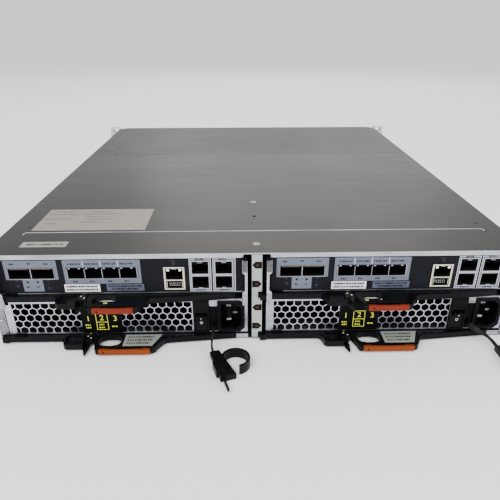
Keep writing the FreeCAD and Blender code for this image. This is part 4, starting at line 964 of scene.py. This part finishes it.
def hexTree():
    # a second row of open six-sided cells behind the perforated face, seen faintly through its holes
    tree, source, result = geometryTree("hex_cells", {"Radius": ("Float", 0.003), "Depth": ("Float", 0.0006)})
    ring = addNode(tree, "GeometryNodeMeshCircle", {"Vertices": 6, "Radius": source.outputs["Radius"]})
    stood = addNode(tree, "GeometryNodeTransform", {
        "Geometry": ring.outputs[0], "Rotation": (math.pi / 2, math.pi / 6, 0)})
    line = addNode(tree, "GeometryNodeMeshToCurve", {"Mesh": setOnPoints(tree, source, stood.outputs[0])})
    bar = addNode(tree, "GeometryNodeCurvePrimitiveQuadrilateral", {
        "Width": source.outputs["Depth"], "Height": source.outputs["Depth"]})
    web = addNode(tree, "GeometryNodeCurveToMesh", {
        "Curve": line.outputs[0], "Profile Curve": bar.outputs[0]})
    return endTree(tree, source, result, web.outputs[0])


hexCells = hexTree()
innerMesh = {"pitch": 7.1, "row": 6.15, "firstAcross": -94.0, "firstUp": 14.6, "columns": 21, "rows": 4,
             "out": 5.0, "radius": 4.1, "web": 0.5, "gap": (-44.0, 0.0)}


def addInnerMesh(side):
    grid, spots = innerMesh, []
    for row in range(grid["rows"]):
        for column in range(grid["columns"]):
            x = grid["firstAcross"] + (column + (row % 2) / 2) * grid["pitch"]
            if not grid["gap"][0] < x < grid["gap"][1]:
                spots.append(place(side, x, grid["out"], grid["firstUp"] + row * grid["row"]))
    runTree(f"power_{side}_inner_mesh", hexCells, spots,
            {"Radius": grid["radius"] / 1000, "Depth": grid["web"] / 1000}, "innerWeb", "power_" + side)


powerPrint = {"panel": (-39.75, 7.9, -5.25, 39.8), "frame": (-27.4, 11.2, -17.2, 27.6),
              "frameHoles": [(-26.9, 11.7, -17.7, 18.9), (-26.9, 19.4, -17.7, 27.1)], "digits": "123",
              "digitSpots": [(-33.9, 22.6), (-22.3, 23.4), (-10.9, 22.6)], "digitSize": 7.6,
              "rows": [(-37.2, -30.6, 16.2), (-37.2, -30.6, 13.6), (-25.6, -19.0, 16.6), (-25.6, -19.0, 13.6),
                       (-14.6, -9.4, 14.6), (-19.0, -14.6, 38.2)]}
entryBlades = [(87.1, 16.95), (87.1, 30.95), (92.6, 23.95)]  # middles, across and up
# The I lies on the slope of the raised half of the rocker, the O on the flat of the lower one.
rockerMarks = {"across": 63.35, "half": 0.3, "slope": ((-2.87, 22.3), (-4.94, 24.9)), "ring": (-1.66, 18.2),
               "radius": 1.2, "hole": 0.85}


def addPowerFront(side):
    body, slot, middle = "power_" + side, "grille_steel", chassis["moduleCentre"][side]
    face = nodes[body + "_face"]
    # the walls of the perforations get painted shade
    repaint(face, "holeShade",
            lambda c, n: abs(n.y) < 0.5 and rear - 0.0003 < c.y < rear + 0.0012 and c.z > 0.009)
    film(body + "_panel", side, powerPrint["panel"], "blackFilm", body)
    # the tabs that carry the lever pivots lie in the levers' shade
    repaint(face, "dark", lambda c, n: c.y < rear - 0.0008 and c.x < middle - 0.085 and c.z < 0.009)
    repaint(nodes[f"controller_{side}_tray"], "dark",
            lambda c, n: c.y < rear - 0.001 and c.x < middle - 0.085)
    film(body + "_panel_frame", side, powerPrint["frame"], "yellowPrint", body, -0.14,
         powerPrint["frameHoles"], 0.03)
    film(body + "_dark_panel", side, (70.3, 9.0, 77.3, 34.2), "blackFilm", body)
    # a bright bar along the edge of the tub's floor: a painted highlight on its steel edge
    film(body + "_floor_lip", side, (93.4, 1.2, 103.6, 5.4), "brightSteelAndHighlight", body, -0.3, thickness=0.25)
    for digit, (x, z) in zip(powerPrint["digits"], powerPrint["digitSpots"]):
        numeral(f"{body}_digit_{digit}", digit, powerPrint["digitSize"], place(side, x, -0.15, z),
                "yellowPrint", body)
    addBars(body + "_panel_rows", rowSpots(side, powerPrint["rows"], 1.7, -0.14), (1.4, 0.05, 1.3),
            "yellowPrint", body, 0.45, 7)
    film(body + "_flap", side, (71.2, 34.2, 76.9, 39.9), "brightSteelAndHighlight", body, -0.5, thickness=0.4)

    def isBlade(c, n):
        if not rear + 0.004 < c.y < rear + 0.0134:
            return False
        x, z = (c.x - middle) * 1000, c.z * 1000
        return any(abs(x - bladeX) < 2.2 and abs(z - bladeZ) < 1.2 for bladeX, bladeZ in entryBlades)
    repaint(bpy.data.objects[body + "_entry_soft"], "pin", isBlade)
    switch, marks = f"power_{side}_switch", rockerMarks
    left, right = marks["across"] - marks["half"], marks["across"] + marks["half"]
    low, high = marks["slope"]
    slope = [(left, *low), (right, *low), (right, *high), (left, *high)]
    plate(body + "_on_mark", [place(side, *corner) for corner in slope], (0, 0.0003, 0.00024), "whitePrint",
          switch)
    disc(body + "_off_mark", side, marks["across"], *marks["ring"], marks["radius"], "whitePrint", switch,
         "rocker_plastic", hole=marks["hole"])


for side in allSides:
    addInnerMesh(side)
    addPowerFront(side)
print("power fronts finished")


# Labels and moulded ribs of the ejector levers, in the module's millimetres across and out.
leverPrint = {
    "power": {"floor": 1.6, "label": [(-2.6, -1.8), (29.0, -1.8), (22.4, -18.0), (-2.6, -18.0)],
              "rows": [(0.0, 24.5, -5.4), (0.0, 22.5, -9.8), (0.0, 20.5, -14.2)], "colour": "orange_plastic"},
    "controller": {"floor": 41.9, "label": [], "rows": [], "colour": "red_plastic"},
}
leverShape = {"thickness": 5.2, "ribs": (-92.0, -60.0), "ribStep": 2.9, "dot": -17.6, "latchFront": -23.55,
              "noseRibs": (-108.0, -106.8, -105.6), "labelStep": 1.55,
              "glints": ((-35.4, -3.0), (-32.2, -5.6), (-34.2, 1.2))}


def addLevers(side):
    shape = leverShape
    for unit, spec in leverPrint.items():
        body, slot = f"{unit}_{side}_ejector", "black_plastic"
        top = spec["floor"] + shape["thickness"]
        if spec["label"]:
            plate(f"{body}_label", [place(side, x, y, top + 0.02) for x, y in spec["label"]], (0, 0, 0.00006),
                  "leverFilm", body)
            rows = alongRows(spec["rows"], shape["labelStep"])
            spots = [place(side, across, out, top + 0.12) for across, out in rows]
            addBars(f"{body}_label_rows", spots, (1.3, 2.2, 0.06), "print", body, 0.45, 31)
        ribs = []
        across = shape["ribs"][0]
        while across < shape["ribs"][1]:
            ribs.append(place(side, across, 0.2, top + 0.02))
            across += shape["ribStep"]
        addBars(f"{body}_ribs", ribs, (0.9, 4.6, 0.5), "lever", body)
        nose = [place(side, x, -3.6, top + 0.02) for x in shape["noseRibs"]]
        addBars(f"{body}_nose_ribs", nose, (0.5, 2.4, 0.4), "lever", body)
        squeeze = f"{unit}_{side}_squeeze"
        disc(f"{squeeze}_dot", side, shape["dot"], shape["latchFront"], spec["floor"] + 2.6, 0.85, "print",
             squeeze, spec["colour"])
        # two glints and a yellow mark on the strap's buckle
        glints = [place(side, x, y, spec["floor"] + 5.05) for x, y in shape["glints"]]
        addBars(f"{body}_strap_glints", glints[:2], (1.3, 1.0, 0.1), "whitePrint", body)
        addBars(f"{body}_strap_mark", glints[2:], (1.8, 1.2, 0.1), "yellowPrint", body)


for side in allSides:
    addLevers(side)
print("levers finished")


# Heights and depths behind the rear face, in metres, where a piece's finish changes.
inside = {"heatSink": (0.0512, 0.095), "caseFloor": 0.002, "fanWall": (0.018, 0.039), "skin": 0.001,
          "midplane": (0.3249, 0.3275), "diskBack": 0.024}


def dressInside():
    # parts of the boards, cases, carriers and midplane that differ from the piece's main finish
    sinkUp, sinkIn = inside["heatSink"]
    wallNear, wallFar = inside["fanWall"]
    boardNear, boardFar = inside["midplane"]
    skin, floor = inside["skin"], inside["caseFloor"]
    for side in allSides:
        repaint(nodes[f"controller_{side}_board"], "heatSink",
                lambda c, n: c.z > sinkUp and c.y > rear + sinkIn)
        # the case's floor and the wall round the fan get painted shade behind the perforated face
        low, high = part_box(f"power_{side}_case")
        repaint(nodes[f"power_{side}_case"], "dark",
                lambda c, n: (n.z > 0.9 and c.z < low[2] + floor) or
                (rear + wallNear < c.y < rear + wallFar and low[0] + skin < c.x < high[0] - skin
                 and low[2] + skin < c.z < high[2] - skin))
    repaint(nodes["midplane_board"], "fitting", lambda c, n: c.y < rear + boardNear or c.y > rear + boardFar)
    for number in range(1, driveCount + 1):
        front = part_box(f"drive_{number}")[1][1]
        repaint(nodes[f"drive_{number}"], "portShell",
                lambda c, n: c.y < front - inside["diskBack"])


dressInside()
print("insides finished")
